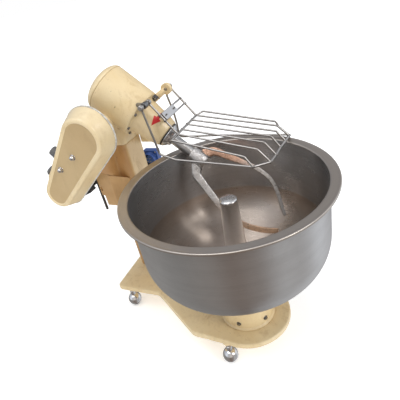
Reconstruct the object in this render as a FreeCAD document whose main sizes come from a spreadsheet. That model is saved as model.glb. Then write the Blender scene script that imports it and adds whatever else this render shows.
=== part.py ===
"""Free-standing fork kneader for bread dough.

A cast base on four ball feet carries a bearing pedestal with a free-turning
stainless bowl, and a square column with an inclined gear head.  The gear head
turns a two-prong fork through a worm and wheel, driven by a foot-less flange
motor over two V-belts behind a teardrop cover.  A hinged wire guard covers
the fork.  Millimetres, +Z up, floor at Z = 0, +X from the column towards the
bowl, the belt cover on the -Y side.
"""
import FreeCAD, Part
import Sketcher
import math
import os

V = FreeCAD.Vector
doc = FreeCAD.newDocument("Kneader")
dims = doc.addObject("Spreadsheet::Sheet", "Dims")

SIZES = [
    # where the machine sits in the row frame
    ("frame_dx", 226.296), ("frame_dy", -40.486),
    # bowl
    ("rim_r", 340.0), ("rim_top", 700.0), ("rim_thick", 6.0), ("wall_r", 311.0),
    ("wall", 3.0), ("bowl_bottom", 304.0), ("bowl_knee_z", 443.9), ("bowl_flat_r", 171.0),
    ("knee_round", 150.0), ("heel_round", 159.4), ("cone_foot_r", 42.0),
    ("cone_top_r", 28.5), ("cone_top_z", 630.0), ("cap_rise", 9.0),
    ("doubler_r", 104.0), ("doubler_t", 8.0), ("hub_flange_t", 12.0),
    ("spindle_r", 20.0), ("hub_r", 45.0),
    # base
    ("base_top", 122.0), ("skirt", 22.0), ("plate", 10.0), ("nose_r", 160.0),
    ("base_rear", 617.0), ("base_near", 0.0), ("base_far", 415.0), ("waist_x", 402.0),
    ("waist_near", 2.0), ("stem_x", 172.0), ("stem_near", 152.0), ("stem_far", 165.0),
    ("pedestal_r", 98.0), ("pedestal_foot_r", 103.0), ("pedestal_top", 214.0),
    ("bearing_r", 40.0), ("bearing_w", 18.0),
    ("foot_r", 29.0), ("foot_stud_r", 8.0), ("foot_x_rear", 567.0), ("foot_y_near", 21.0),
    ("foot_y_far", 392.0), ("foot_x_nose", 37.0), ("foot_y_nose", 147.0),
    # column
    ("col_rear", 578.0), ("col_front", 456.0), ("col_near", 153.0), ("col_far", 272.0),
    ("col_top", 745.0), ("col_wall", 10.0), ("col_round", 16.0),
    # inclined head and fork
    ("tilt", 42.2), ("fork_y", 187.0), ("head_x", -374.3), ("head_z", 862.2),
    ("barrel_r", 90.0), ("barrel_len", 146.0), ("dome_rise", 38.0), ("nose_root_r", 66.0),
    ("nose_tip_r", 50.0), ("nose_len", 130.0), ("fork_shaft_r", 19.0), ("hub_at", 292.0),
    ("fork_phase", 37.3),
    # drive
    ("worm_x", -478.7), ("worm_z", 853.0), ("worm_shaft_r", 12.0), ("worm_r", 19.0),
    ("wheel_r", 57.5), ("wheel_at", 71.0), ("belt_span", 315.5), ("belt_angle", 46.64),
    ("motor_x", -695.3), ("motor_z", 623.5), ("big_pulley_r", 82.0), ("small_pulley_r", 42.0),
    ("motor_r", 66.0), ("cover_front", 34.0), ("cover_back", -26.0),
    ("cover_top_r", 98.0), ("cover_foot_r", 73.0), ("cover_draft", 21.0), ("sheet", 3.0),
    # wire guard
    ("pivot_x", -285.6), ("pivot_z", 915.9), ("wire_r", 4.0), ("rod_r", 5.5),
]
VALUES = {}
for row, (alias, value) in enumerate(SIZES, 1):
    dims.set("A%d" % row, alias)
    dims.set("B%d" % row, repr(value))
    dims.setAlias("B%d" % row, alias)
    VALUES[alias] = value
doc.recompute()


class Q(object):
    """A size that keeps both its number and the sheet expression it came from."""

    def __init__(self, value, text):
        self.value = value
        self.text = text

    def __add__(self, other):
        other = q(other)
        return Q(self.value + other.value, "(%s + %s)" % (self.text, other.text))

    def __sub__(self, other):
        other = q(other)
        return Q(self.value - other.value, "(%s - %s)" % (self.text, other.text))

    def __mul__(self, other):
        other = q(other)
        return Q(self.value * other.value, "(%s * %s)" % (self.text, other.text))

    def __neg__(self):
        return Q(-self.value, "(0 - %s)" % self.text)

    __radd__ = __add__
    __rmul__ = __mul__

    def __rsub__(self, other):
        return q(other) - self


def q(x):
    if isinstance(x, Q):
        return x
    return Q(float(x), "(%s)" % repr(float(x)))


def S(name):
    return Q(VALUES[name], "Dims." + name)


def num(name):
    return VALUES[name]


OFF = V(num("frame_dx"), num("frame_dy"), 0)


def frame(origin, xdir, zdir):
    x, z = V(*xdir), V(*zdir)
    x.normalize()
    z.normalize()
    y = z.cross(x)
    m = FreeCAD.Matrix(x.x, y.x, z.x, 0, x.y, y.y, z.y, 0, x.z, y.z, z.z, 0, 0, 0, 0, 1)
    p = FreeCAD.Placement(m)
    p.Base = V(*origin) + OFF
    return p


TILT = math.radians(num("tilt"))
D = (math.cos(TILT), 0.0, -math.sin(TILT))
U = (math.sin(TILT), 0.0, math.cos(TILT))
HEAD_O = (num("head_x"), num("fork_y"), num("head_z"))
HEAD = frame(HEAD_O, U, D)
PH = math.radians(num("fork_phase"))
EDIR = (math.cos(PH) * U[0], math.sin(PH), math.cos(PH) * U[2])
FORK = frame(HEAD_O, EDIR, D)
BOWL = frame((0, 0, 0), (1, 0, 0), (0, 0, 1))
BA = math.radians(num("belt_angle"))
BELT = frame((num("motor_x"), 0, num("motor_z")), (math.cos(BA), 0, math.sin(BA)), (0, -1, 0))
WORM = frame((num("worm_x"), 0, num("worm_z")), (1, 0, 0), (0, 1, 0))
MOTOR = frame((num("motor_x"), 0, num("motor_z")), (1, 0, 0), (0, 1, 0))


def at(place, x, y, z):
    """The placement moved by x, y, z along its own axes."""
    return FreeCAD.Placement(place.multVec(V(x, y, z)), place.Rotation)


ROLES = {"XY": "XY_Plane", "XZ": "XZ_Plane", "YZ": "YZ_Plane"}
exported = []
serial = [0]


def nid(stem):
    serial[0] += 1
    return "%s_%03d" % (stem, serial[0])


def plane(body, role):
    return [o for o in body.Origin.OriginFeatures if getattr(o, "Role", "") == ROLES[role]][0]


def pin(sk, kind, geo, pos, size):
    size = q(size)
    k = sk.addConstraint(Sketcher.Constraint(kind, -1, 1, geo, pos, size.value))
    if "Dims." in size.text:
        sk.setExpression("Constraints[%d]" % k, size.text)


def sketch(body, role, loops=(), circles=(), lift=0.0):
    sk = body.newObject("Sketcher::SketchObject", nid("Sketch"))
    sk.AttachmentSupport = (plane(body, role), [""])
    sk.MapMode = "FlatFace"
    if lift:
        sk.AttachmentOffset = FreeCAD.Placement(V(0, 0, q(lift).value), FreeCAD.Rotation())
    n = 0
    for loop in loops:
        pts = [(q(a), q(b)) for a, b in loop]
        k = len(pts)
        for i in range(k):
            a, b = pts[i], pts[(i + 1) % k]
            sk.addGeometry(Part.LineSegment(V(a[0].value, a[1].value, 0), V(b[0].value, b[1].value, 0)), False)
        for i in range(k):
            sk.addConstraint(Sketcher.Constraint("Coincident", n + i, 2, n + (i + 1) % k, 1))
        for i in range(k):
            pin(sk, "DistanceX", n + i, 1, pts[i][0])
            pin(sk, "DistanceY", n + i, 1, pts[i][1])
        n += k
    for x, y, r in circles:
        x, y, r = q(x), q(y), q(r)
        sk.addGeometry(Part.Circle(V(x.value, y.value, 0), V(0, 0, 1), r.value), False)
        pin(sk, "DistanceX", n, 3, x)
        pin(sk, "DistanceY", n, 3, y)
        k = sk.addConstraint(Sketcher.Constraint("Radius", n, r.value))
        if "Dims." in r.text:
            sk.setExpression("Constraints[%d]" % k, r.text)
        n += 1
    return sk


def tear_sketch(body, r_small, r_big, span, lift):
    """Outline round two circles: the small one at the origin, the big one on +X."""
    r0, r1, L = q(r_small), q(r_big), q(span)
    sk = body.newObject("Sketcher::SketchObject", nid("Sketch"))
    sk.AttachmentSupport = (plane(body, "XY"), [""])
    sk.MapMode = "FlatFace"
    sk.AttachmentOffset = FreeCAD.Placement(V(0, 0, lift), FreeCAD.Rotation())
    f = math.acos((r0.value - r1.value) / L.value)
    c, s = math.cos(f), math.sin(f)
    sk.addGeometry(Part.ArcOfCircle(Part.Circle(V(L.value, 0, 0), V(0, 0, 1), r1.value), -f, f), False)
    sk.addGeometry(Part.LineSegment(V(L.value + r1.value * c, r1.value * s, 0), V(r0.value * c, r0.value * s, 0)), False)
    sk.addGeometry(Part.ArcOfCircle(Part.Circle(V(0, 0, 0), V(0, 0, 1), r0.value), f, 2 * math.pi - f), False)
    sk.addGeometry(Part.LineSegment(V(r0.value * c, -r0.value * s, 0), V(L.value + r1.value * c, -r1.value * s, 0)), False)
    for i in range(4):
        sk.addConstraint(Sketcher.Constraint("Tangent", i, 2, (i + 1) % 4, 1))
    pin(sk, "DistanceX", 0, 3, L)
    pin(sk, "DistanceY", 0, 3, 0.0)
    sk.addConstraint(Sketcher.Constraint("Coincident", 2, 3, -1, 1))
    for geo, r in ((0, r1), (2, r0)):
        k = sk.addConstraint(Sketcher.Constraint("Radius", geo, r.value))
        if "Dims." in r.text:
            sk.setExpression("Constraints[%d]" % k, r.text)
    return sk


def new_body(label, place):
    b = doc.addObject("PartDesign::Body", nid("Body"))
    b.Label = label
    b.Placement = place
    return b


def bind(obj, prop, size):
    size = q(size)
    setattr(obj, prop, size.value)
    if "Dims." in size.text:
        obj.setExpression(prop, size.text)


def revolve(body, loop, circles=()):
    sk = sketch(body, "XZ", [loop])
    f = body.newObject("PartDesign::Revolution", nid("Revolution"))
    f.Profile = sk
    f.ReferenceAxis = (sk, ["V_Axis"])
    f.Angle = 360.0
    body.Tip = f
    return f


def pad(body, sk, length, back=False):
    f = body.newObject("PartDesign::Pad", nid("Pad"))
    f.Profile = sk
    bind(f, "Length", length)
    f.Reversed = back
    body.Tip = f
    return f


def pocket(body, sk, length, back=False):
    f = body.newObject("PartDesign::Pocket", nid("Pocket"))
    f.Profile = sk
    bind(f, "Length", length)
    f.Reversed = back
    body.Tip = f
    return f


def loft(body, sketches, cut=False):
    f = body.newObject("PartDesign::SubtractiveLoft" if cut else "PartDesign::AdditiveLoft", nid("Loft"))
    f.Profile = sketches[0]
    f.Sections = sketches[1:]
    f.Ruled = True
    body.Tip = f
    return f


def edges(feature, test):
    return ["Edge%d" % (i + 1) for i, e in enumerate(feature.Shape.Edges) if test(e)]


def dress(body, kind, test, size):
    """Fillet or chamfer the edges of the body's last feature that pass the test."""
    doc.recompute()
    tip = body.Tip
    names = edges(tip, test)
    if not names:
        raise RuntimeError("no edge found on " + body.Label)
    f = body.newObject("PartDesign::" + kind, nid(kind))
    f.Base = (tip, names)
    bind(f, "Radius" if kind == "Fillet" else "Size", size)
    body.Tip = f
    doc.recompute()
    return f


def ring_edge(r, z):
    def test(e):
        c = getattr(e, "Curve", None)
        return (c is not None and c.TypeId == "Part::GeomCircle" and abs(c.Radius - r) < 0.05
                and abs(c.Center.z - z) < 0.05 and abs(c.Center.x) < 0.05 and abs(c.Center.y) < 0.05)
    return test


def upright(x, y, tol=0.6):
    def test(e):
        if len(e.Vertexes) != 2:
            return False
        a, b = e.Vertexes[0].Point, e.Vertexes[1].Point
        return (abs(a.x - b.x) < 1e-4 and abs(a.y - b.y) < 1e-4 and abs(a.x - x) < tol and abs(a.y - y) < tol)
    return test


def flat_at(z):
    def test(e):
        b = e.BoundBox
        return abs(b.ZMin - z) < 1e-3 and abs(b.ZMax - z) < 1e-3
    return test


def keep(obj):
    exported.append(obj)
    return obj


def turned(label, loop, place):
    b = new_body(label, place)
    revolve(b, loop)
    return keep(b)


def solid_node(label, shape, place):
    """A node of several equal or welded solids, made from sizes in the sheet."""
    f = doc.addObject("Part::Feature", nid("Solid"))
    f.Label = label
    f.Shape = shape
    f.Placement = place
    return keep(f)


def hexagon(af, height, z=0.0):
    r = af / math.sqrt(3.0)
    pts = [V(r * math.cos(math.radians(60 * i)), r * math.sin(math.radians(60 * i)), z) for i in range(7)]
    pts[6] = pts[0]
    return Part.Face(Part.makePolygon(pts)).extrude(V(0, 0, height))


def bolt(shank_r, length, af, head, point, axis, bore=None):
    """Hex head sitting at the point, shank running along the axis."""
    s = hexagon(af, head, -head).fuse(Part.makeCylinder(shank_r, length, V(0, 0, 0), V(0, 0, 1)))
    s = s.removeSplitter()
    r = FreeCAD.Rotation(V(0, 0, 1), V(*axis))
    s.Placement = FreeCAD.Placement(V(*point), r)
    return s


def rod(points, r, ball=True):
    """Round wire along a polyline, with round bends."""
    parts = []
    for a, b in zip(points[:-1], points[1:]):
        a, b = V(*a), V(*b)
        d = b - a
        parts.append(Part.makeCylinder(r, d.Length, a, d))
    for p in points[1:-1]:
        parts.append(Part.makeSphere(r, V(*p)))
    s = parts[0]
    if len(parts) > 1:
        s = parts[0].multiFuse(parts[1:])
    return s


def tube(r_out, r_in, z0, z1):
    c = Part.makeCylinder(r_out, z1 - z0, V(0, 0, z0))
    return c.cut(Part.makeCylinder(r_in, z1 - z0 + 2, V(0, 0, z0 - 1)))


def fuse(shapes):
    s = shapes[0].multiFuse(shapes[1:]) if len(shapes) > 1 else shapes[0]
    return s.removeSplitter()


# ---------------------------------------------------------------- base casting
b = new_body("base_casting", BOWL)
outline = [(-S("base_rear"), S("base_near")), (-S("waist_x"), S("waist_near")),
           (-S("stem_x"), -S("stem_near")), (-6.0, -158.0), (4.0, 158.0),
           (-S("stem_x"), S("stem_far")), (-S("waist_x"), S("base_far")),
           (-S("base_rear"), S("base_far"))]
pad(b, sketch(b, "XY", [outline], lift=num("base_top") - num("skirt")), S("skirt"))
corner = upright(-num("base_rear"), num("base_near"))
corner2 = upright(-num("base_rear"), num("base_far"))
dress(b, "Fillet", lambda e: corner(e) or corner2(e), 20.0)
c1, c2, c3, c4 = (upright(-num("waist_x"), num("waist_near")), upright(-num("stem_x"), -num("stem_near")),
                  upright(-num("stem_x"), num("stem_far")), upright(-num("waist_x"), num("base_far")))
dress(b, "Fillet", lambda e: c1(e) or c2(e) or c3(e) or c4(e), 28.0)
pad(b, sketch(b, "XY", circles=[(0, 0, S("nose_r"))], lift=num("base_top") - num("skirt")), S("skirt"))
dress(b, "Fillet", flat_at(num("base_top")), 5.0)
inner = [(-S("base_rear") + 12, S("base_near") + 12), (-S("waist_x") + 3, S("waist_near") + 12),
         (-S("stem_x") + 4, -S("stem_near") + 14), (-8.0, -147.5), (5.0, 147.5),
         (-S("stem_x") - 3, S("stem_far") - 14), (-S("waist_x") - 6, S("base_far") - 12),
         (-S("base_rear") + 12, S("base_far") - 12)]
z0 = num("base_top") - num("skirt")
pocket(b, sketch(b, "XY", [inner], lift=z0), S("skirt") - S("plate"), back=True)
pocket(b, sketch(b, "XY", circles=[(0, 0, S("nose_r") - 12)], lift=z0), S("skirt") - S("plate"), back=True)
FEET = [(-S("foot_x_rear"), S("foot_y_near") + 3), (-S("foot_x_rear"), S("foot_y_far")),
        (-S("foot_x_nose"), -S("foot_y_nose") + 4), (-S("foot_x_nose"), S("foot_y_nose") - 4)]
ribs = []
pad(b, sketch(b, "XY", circles=[(x, y, 20.0) for x, y in FEET] + [(0, 0, 62.0)], lift=z0), S("skirt") - S("plate"))
pad(b, sketch(b, "XY", [[(-S("col_rear"), S("col_near")), (-S("col_front"), S("col_near")),
                         (-S("col_front"), S("col_far")), (-S("col_rear"), S("col_far"))]], lift=z0 + 4),
    S("skirt") - S("plate") - 4)
pad(b, sketch(b, "XY", [[(-470.0, 206.0), (-150.0, -6.0), (-150.0, 6.0), (-470.0, 218.0)],
                        [(-130.0, -5.0), (-50.0, -5.0), (-50.0, 5.0), (-130.0, 5.0)]], lift=z0 + 2),
    S("skirt") - S("plate") - 2)
# the foot studs run in blind holes that end below the top face
pocket(b, sketch(b, "XY", circles=[(x, y, S("foot_stud_r") + 0.05) for x, y in FEET], lift=z0 - 1), 16.5, back=True)
holes = [(0, 0, 47.0)]
colbolts = [(-556.0, 175.0), (-478.0, 175.0), (-478.0, 250.0), (-556.0, 250.0)]
pocket(b, sketch(b, "XY", circles=holes + [(x, y, 6.1) for x, y in colbolts], lift=z0 - 1), S("skirt") + 2, back=True)
keep(b)

# ---------------------------------------------------------------- levelling feet
for k, (x, y) in enumerate(FEET, 1):
    r = S("foot_r")
    loop = [(0, 0.0), (14.0, 0.0), (15.5, 1.5), (15.5, 4.2)]
    for i in range(1, 12):
        a = math.radians(-60 + i * 11.5)
        loop.append((r * math.cos(a), r * (1 + math.sin(a))))
    loop += [(11.0, r * 1.93), (11.0, S("base_top") - S("skirt") - 22), (S("foot_stud_r"), S("base_top") - S("skirt") - 22),
             (S("foot_stud_r"), S("base_top") - 15.0), (S("foot_stud_r") - 1, S("base_top") - 14.0), (0, S("base_top") - 14.0)]
    turned("levelling_foot_%d" % k, loop, at(BOWL, x.value, y.value, 0))
nuts = []
for x, y in FEET:
    n = hexagon(24.0, 9.0, z0 - 9.6).cut(Part.makeCylinder(num("foot_stud_r") + 0.05, 20, V(0, 0, z0 - 15)))
    n.translate(V(x.value, y.value, 0))
    nuts.append(n)
solid_node("foot_lock_nuts", Part.makeCompound(nuts), BOWL)

# ---------------------------------------------------------------- bowl bearing pedestal
zt = S("base_top")
bw = S("bearing_w")
br = S("bearing_r") + 0.02
b = new_body("bearing_pedestal", BOWL)
revolve(b, [(S("pedestal_foot_r"), zt), (S("pedestal_foot_r"), zt + 6), (S("pedestal_r"), zt + 12),
            (S("pedestal_r"), S("pedestal_top") - 4), (S("pedestal_r") - 4, S("pedestal_top")),
            (br, S("pedestal_top")), (br, S("pedestal_top") - 6 - bw),
            (30.0, S("pedestal_top") - 6 - bw), (30.0, zt + 8 + bw), (br, zt + 8 + bw), (br, zt)])
doc.recompute()
sk = sketch(b, "XZ", circles=[(0, 156.0, 4.05)])
pk = pocket(b, sk, 200.0)
pk.Midplane = True
pp = b.newObject("PartDesign::PolarPattern", nid("Polar"))
pp.Originals = [pk]
pp.Axis = (sk, ["V_Axis"])
pp.Angle = 360.0
pp.Occurrences = 3
b.Tip = pp
keep(b)
shapes = []
for i in range(6):
    a = math.radians(90 + 60 * i)
    d = (math.cos(a), math.sin(a))
    rr = num("pedestal_r") + 0.05
    shapes.append(bolt(4.0, 24.0, 12.0, 5.0, (rr * d[0], rr * d[1], 156.0), (-d[0], -d[1], 0)))
base_bolts = shapes
pt = num("pedestal_top")
solid_node("bowl_bearings", Part.makeCompound([
    tube(num("bearing_r"), num("spindle_r") + 0.05, zt.value + 8, zt.value + 7.9 + bw.value),
    tube(num("bearing_r"), num("spindle_r") + 0.05, pt - 5.9 - bw.value, pt - 6)]), BOWL)
turned("pedestal_seal_cap", [(S("spindle_r") + 0.6, S("pedestal_top") - 5.5), (S("bearing_r") - 0.05, S("pedestal_top") - 5.5),
                             (S("bearing_r") - 0.05, S("pedestal_top") + 0.02), (74.0, S("pedestal_top") + 0.02),
                             (74.0, S("pedestal_top") + 5), (70.0, S("pedestal_top") + 8),
                             (S("spindle_r") + 0.6, S("pedestal_top") + 8)], BOWL)

# ---------------------------------------------------------------- turning bowl
fl_top = S("bowl_bottom") - S("doubler_t")
fl_bot = fl_top - S("hub_flange_t")
b = new_body("bowl_spindle", BOWL)
revolve(b, [(0, 106.0), (13.5, 106.0), (14.5, 107.0), (14.5, 130.0), (S("spindle_r"), 131.0),
            (S("spindle_r"), S("pedestal_top") + 12), (S("hub_r") - 9, S("pedestal_top") + 14),
            (S("hub_r"), S("pedestal_top") + 24), (S("hub_r"), fl_bot - 12), (S("hub_r") + 12, fl_bot),
            (S("doubler_r") - 4, fl_bot), (S("doubler_r") - 4, fl_top), (0, fl_top)])
doc.recompute()
pocket(b, sketch(b, "XY", circles=[(82 * math.cos(math.radians(60 * i + 30)), 82 * math.sin(math.radians(60 * i + 30)), 5.05)
                                   for i in range(6)], lift=fl_bot.value - 1), S("hub_flange_t") + 2, back=True)
keep(b)
shapes = [hexagon(44.0, 14.0, 115.5).cut(Part.makeCylinder(14.52, 40, V(0, 0, 100)))]
for i in range(6):
    a = math.radians(60 * i + 30)
    shapes.append(bolt(5.0, num("hub_flange_t") + 6.0, 16.0, 6.5, (82 * math.cos(a), 82 * math.sin(a), fl_bot.value - 0.02), (0, 0, 1)))
solid_node("spindle_nut_and_bolts", Part.makeCompound(shapes), BOWL)
b = new_body("bowl_doubler", BOWL)
revolve(b, [(0, fl_top), (S("doubler_r"), fl_top), (S("doubler_r"), S("bowl_bottom")), (0, S("bowl_bottom"))])
doc.recompute()
pocket(b, sketch(b, "XY", circles=[(82 * math.cos(math.radians(60 * i + 30)), 82 * math.sin(math.radians(60 * i + 30)), 5.05)
                                   for i in range(6)], lift=fl_top.value - 1), 8.0, back=True)
keep(b)
b = new_body("bowl_shell", BOWL)
w = S("wall")
k2 = 0.41421
revolve(b, [(S("rim_r"), S("rim_top")), (S("rim_r"), S("rim_top") - S("rim_thick")), (S("wall_r"), S("rim_top") - S("rim_thick")),
            (S("wall_r"), S("bowl_knee_z")), (S("bowl_flat_r"), S("bowl_bottom")),
            (0, S("bowl_bottom")), (0, S("bowl_bottom") + w), (S("bowl_flat_r") - w * k2, S("bowl_bottom") + w),
            (S("wall_r") - w, S("bowl_knee_z") + w * k2), (S("wall_r") - w, S("rim_top"))])
dress(b, "Fillet", ring_edge(num("wall_r"), num("bowl_knee_z")), S("knee_round"))
dress(b, "Fillet", ring_edge(num("wall_r") - num("wall"), num("bowl_knee_z") + num("wall") * k2), S("knee_round") - w)
dress(b, "Fillet", ring_edge(num("bowl_flat_r"), num("bowl_bottom")), S("heel_round"))
dress(b, "Fillet", ring_edge(num("bowl_flat_r") - num("wall") * k2, num("bowl_bottom") + num("wall")), S("heel_round") - w)
rz = num("rim_top")
dress(b, "Fillet", lambda e: ring_edge(num("rim_r"), rz)(e) or ring_edge(num("rim_r"), rz - num("rim_thick"))(e), 2.0)
keep(b)
zf = S("bowl_bottom") + w
ct = S("cone_top_z")
cr = S("cone_top_r")
turned("bowl_centre_cone", [(S("cone_foot_r") - 3, zf), (S("cone_foot_r") + 4, zf), (S("cone_foot_r") - 0.4, zf + 5), (cr, ct),
                            (cr - 2, ct + 4), (cr - 7, ct + 6.6), (cr - 15, ct + S("cap_rise") - 0.8), (0, ct + S("cap_rise")),
                            (0, ct + S("cap_rise") - 3), (cr - 15, ct + 4.6), (cr - 5, ct + 0.5), (S("cone_foot_r") - 3.6, zf + 5)], BOWL)

# ---------------------------------------------------------------- column
b = new_body("column", BOWL)
rect = [(-S("col_rear"), S("col_near")), (-S("col_front"), S("col_near")),
        (-S("col_front"), S("col_far")), (-S("col_rear"), S("col_far"))]
cw = S("col_wall")
pad(b, sketch(b, "XY", [rect], lift=num("base_top")), S("col_top") - S("base_top"))
cs = [upright(-num("col_rear"), num("col_near")), upright(-num("col_front"), num("col_near")),
      upright(-num("col_front"), num("col_far")), upright(-num("col_rear"), num("col_far"))]
dress(b, "Fillet", lambda e: any(c(e) for c in cs), S("col_round"))
pocket(b, sketch(b, "XY", [[(-S("col_rear") + cw, S("col_near") + cw), (-S("col_front") - cw, S("col_near") + cw),
                            (-S("col_front") - cw, S("col_far") - cw), (-S("col_rear") + cw, S("col_far") - cw)]],
                 lift=num("base_top") + 14), S("col_top") - S("base_top") - 28, back=True)
pocket(b, sketch(b, "XY", circles=[(x, y, 5.05) for x, y in colbolts], lift=num("base_top") - 1), 13.0, back=True)
pad(b, sketch(b, "YZ", [[(32.02, 694.0), (S("col_near") + 1, 602.0), (S("col_near") + 1, 738.0), (32.02, 738.0)]], lift=-534.0), 12.0)
keep(b)
base_bolts += [bolt(5.0, 25.0 - 0.5, 17.0, 6.4, (x, y, num("base_top") - num("plate") - 8.02), (0, 0, 1)) for x, y in colbolts]
solid_node("base_bolts", Part.makeCompound(base_bolts), BOWL)

# ---------------------------------------------------------------- inclined gear head


def hd(x, z):
    """World X, Z to the head's own up and axial coordinates."""
    dx, dz = x - num("head_x"), z - num("head_z")
    return (dx * math.sin(TILT) + dz * math.cos(TILT), dx * math.cos(TILT) - dz * math.sin(TILT))


def head_pt(u, side, d):
    """Point of the head frame, side counted along +Y from the fork axis."""
    return (u, -side, d)


wu, wd = hd(num("worm_x"), num("worm_z"))
bl = S("barrel_len")
b = new_body("head_housing", HEAD)
neck = [hd(-578, 745), hd(-456, 745), hd(-418, 800), hd(-378, 850), hd(-400, 880), hd(-478, 950), hd(-540, 893), hd(-578, 805)]
pad(b, sketch(b, "XZ", [neck], lift=num("col_near") - num("fork_y")), S("col_far") - S("col_near"))
neck_runs = [(hd(-578, 745), hd(-578, 805)), (hd(-578, 805), hd(-540, 893)), (hd(-456, 745), hd(-418, 800)), (hd(-418, 800), hd(-378, 850))]


def neck_side(e):
    if len(e.Vertexes) != 2:
        return False
    p, r = e.Vertexes[0].Point, e.Vertexes[1].Point
    if abs(p.y - r.y) > 0.01:
        return False
    for k in neck_runs:
        for (x1, z1), (x2, z2) in (k, k[::-1]):
            if math.hypot(p.x - x1, p.z - z1) < 0.1 and math.hypot(r.x - x2, r.z - z2) < 0.1:
                return True
    return False


dress(b, "Fillet", neck_side, 14.0)
pad(b, sketch(b, "XZ", [[hd(-455.9, 707), hd(-406, 707), hd(-396, 800), hd(-400, 832), hd(-440, 815), hd(-455.9, 775)]],
              lift=262.0 - num("fork_y")), 10.0)
doc.recompute()
revolve(b, [(0, -bl), (S("barrel_r") - 2, -bl), (S("barrel_r"), -bl + 2), (S("barrel_r"), 8), (S("barrel_r") - 2, 12),
            (S("nose_root_r") + 10, 13), (S("nose_root_r") + 4, 16), (S("nose_root_r") + 1, 22), (S("nose_root_r") - 4.5, 60), (S("nose_root_r") - 7.5, 96),
            (S("nose_tip_r") + 1, S("nose_len") - 3), (S("nose_tip_r") - 2, S("nose_len")), (0, S("nose_len"))])
doc.recompute()
pad(b, sketch(b, "XZ", circles=[(wu, wd, 42.0)], lift=38.0 - num("fork_y")), 252.0)
doc.recompute()
sk = sketch(b, "XZ", [[(0, -bl - 1), (S("barrel_r") - 10, -bl - 1), (S("barrel_r") - 10, -20), (44.0, 30), (S("bearing_r") + 0.02, 50),
                       (S("bearing_r") + 0.02, 80), (30.0, 80), (30.0, S("nose_len") + 1), (0, S("nose_len") + 1)]])
g = b.newObject("PartDesign::Groove", nid("Groove"))
g.Profile = sk
g.ReferenceAxis = (sk, ["V_Axis"])
g.Angle = 360.0
b.Tip = g
doc.recompute()
pocket(b, sketch(b, "XZ", circles=[(wu, wd, 26.02)], lift=37.0 - num("fork_y")), 254.0, back=True)
pocket(b, sketch(b, "XZ", [[hd(-565, 757), hd(-463, 757), hd(-446, 782), hd(-452, 795), hd(-490, 799), hd(-519, 815), hd(-528, 842),
                            hd(-548, 842), hd(-566, 798)]], lift=num("col_near") + 12 - num("fork_y")),
       S("col_far") - S("col_near") - 24, back=True)
PLATE_BOLTS = [(34 * math.cos(math.radians(a)), 34 * math.sin(math.radians(a))) for a in (20, 110, 200, 290)]
holes = []
for px, pz in PLATE_BOLTS:
    u_, d_ = hd(num("worm_x") + px, num("worm_z") + pz)
    holes.append((u_, d_, 4.03))
pocket(b, sketch(b, "XZ", circles=holes, lift=37.0 - num("fork_y")), 13.0, back=True)
pocket(b, sketch(b, "XZ", circles=holes, lift=278.0 - num("fork_y")), 13.0, back=True)
headbolts = [(-548.0, 178.0), (-486.0, 178.0), (-486.0, 247.0), (-548.0, 247.0)]
keep(b)
housing = b

head_outer = Part.Face(Part.makePolygon([V(0, 0, -num("barrel_len")), V(num("barrel_r"), 0, -num("barrel_len")), V(num("barrel_r"), 0, 8),
                                         V(num("barrel_r") - 2, 0, 12), V(num("nose_root_r") + 10, 0, 13), V(num("nose_root_r") + 4, 0, 16), V(num("nose_root_r") + 1, 0, 22),
                                         V(num("nose_root_r") - 4.5, 0, 60), V(num("nose_root_r") - 7.5, 0, 96), V(num("nose_tip_r") + 1, 0, num("nose_len") - 3), V(0, 0, num("nose_len")),
                                         V(0, 0, -num("barrel_len"))])).revolve(V(0, 0, 0), V(0, 0, 1), 360)

# domed rear cap with the rear bearing seat
dome = [(0.0, -(bl + S("dome_rise")))]
for i in range(1, 12):
    a = math.radians(90 - i * 90 / 11.6)
    dome.append((S("barrel_r") * math.cos(a), -(bl + S("dome_rise") * math.sin(a))))
dome += [(S("barrel_r") - 1, -bl - 0.02), (S("barrel_r") - 10.03, -bl - 0.02), (S("barrel_r") - 10.03, -bl + 12), (S("barrel_r") - 20, -bl + 12),
         (S("barrel_r") - 24, -bl - 4), (54.0, -bl - 4), (54.0, -bl + 24), (S("bearing_r") + 0.02, -bl + 24), (S("bearing_r") + 0.02, -bl + 4), (0, -bl + 4)]
turned("rear_cap", dome, HEAD)

solid_node("fork_bearings", Part.makeCompound([
    tube(num("bearing_r"), num("fork_shaft_r") + 0.05, -bl.value + 4.1, -bl.value + 22),
    tube(num("bearing_r"), num("fork_shaft_r") + 0.05, 62.0, 79.9)]), HEAD)
turned("nose_seal", [(S("fork_shaft_r") + 0.08, S("nose_len") - 14), (29.98, S("nose_len") - 14), (29.98, S("nose_len") - 1),
                     (S("fork_shaft_r") + 0.08, S("nose_len") - 1)], HEAD)
turned("nose_collar", [(S("fork_shaft_r") + 0.02, S("nose_len") + 0.6), (47.0, S("nose_len") + 0.6), (46.0, S("nose_len") + 6),
                       (37.0, S("nose_len") + 18), (26.5, S("nose_len") + 31), (S("fork_shaft_r") + 0.02, S("nose_len") + 31)], HEAD)
hub_z = S("hub_at")
turned("fork_shaft", [(0, -bl + 6), (S("fork_shaft_r") - 1.5, -bl + 6), (S("fork_shaft_r"), -bl + 8), (S("fork_shaft_r"), hub_z - 8),
                      (0, hub_z - 8)], HEAD)
b = new_body("worm_wheel", HEAD)
wz = -S("wheel_at")
revolve(b, [(S("fork_shaft_r") + 0.02, wz - 22), (34.0, wz - 22), (34.0, wz - 9), (46.0, wz - 9), (46.0, wz - 16), (S("wheel_r") - 0.3, wz - 16),
            (S("wheel_r") - 0.3, wz + 16), (46.0, wz + 16), (46.0, wz + 9), (34.0, wz + 9), (34.0, wz + 22), (S("fork_shaft_r") + 0.02, wz + 22)])
doc.recompute()
r1 = num("wheel_r")
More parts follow.
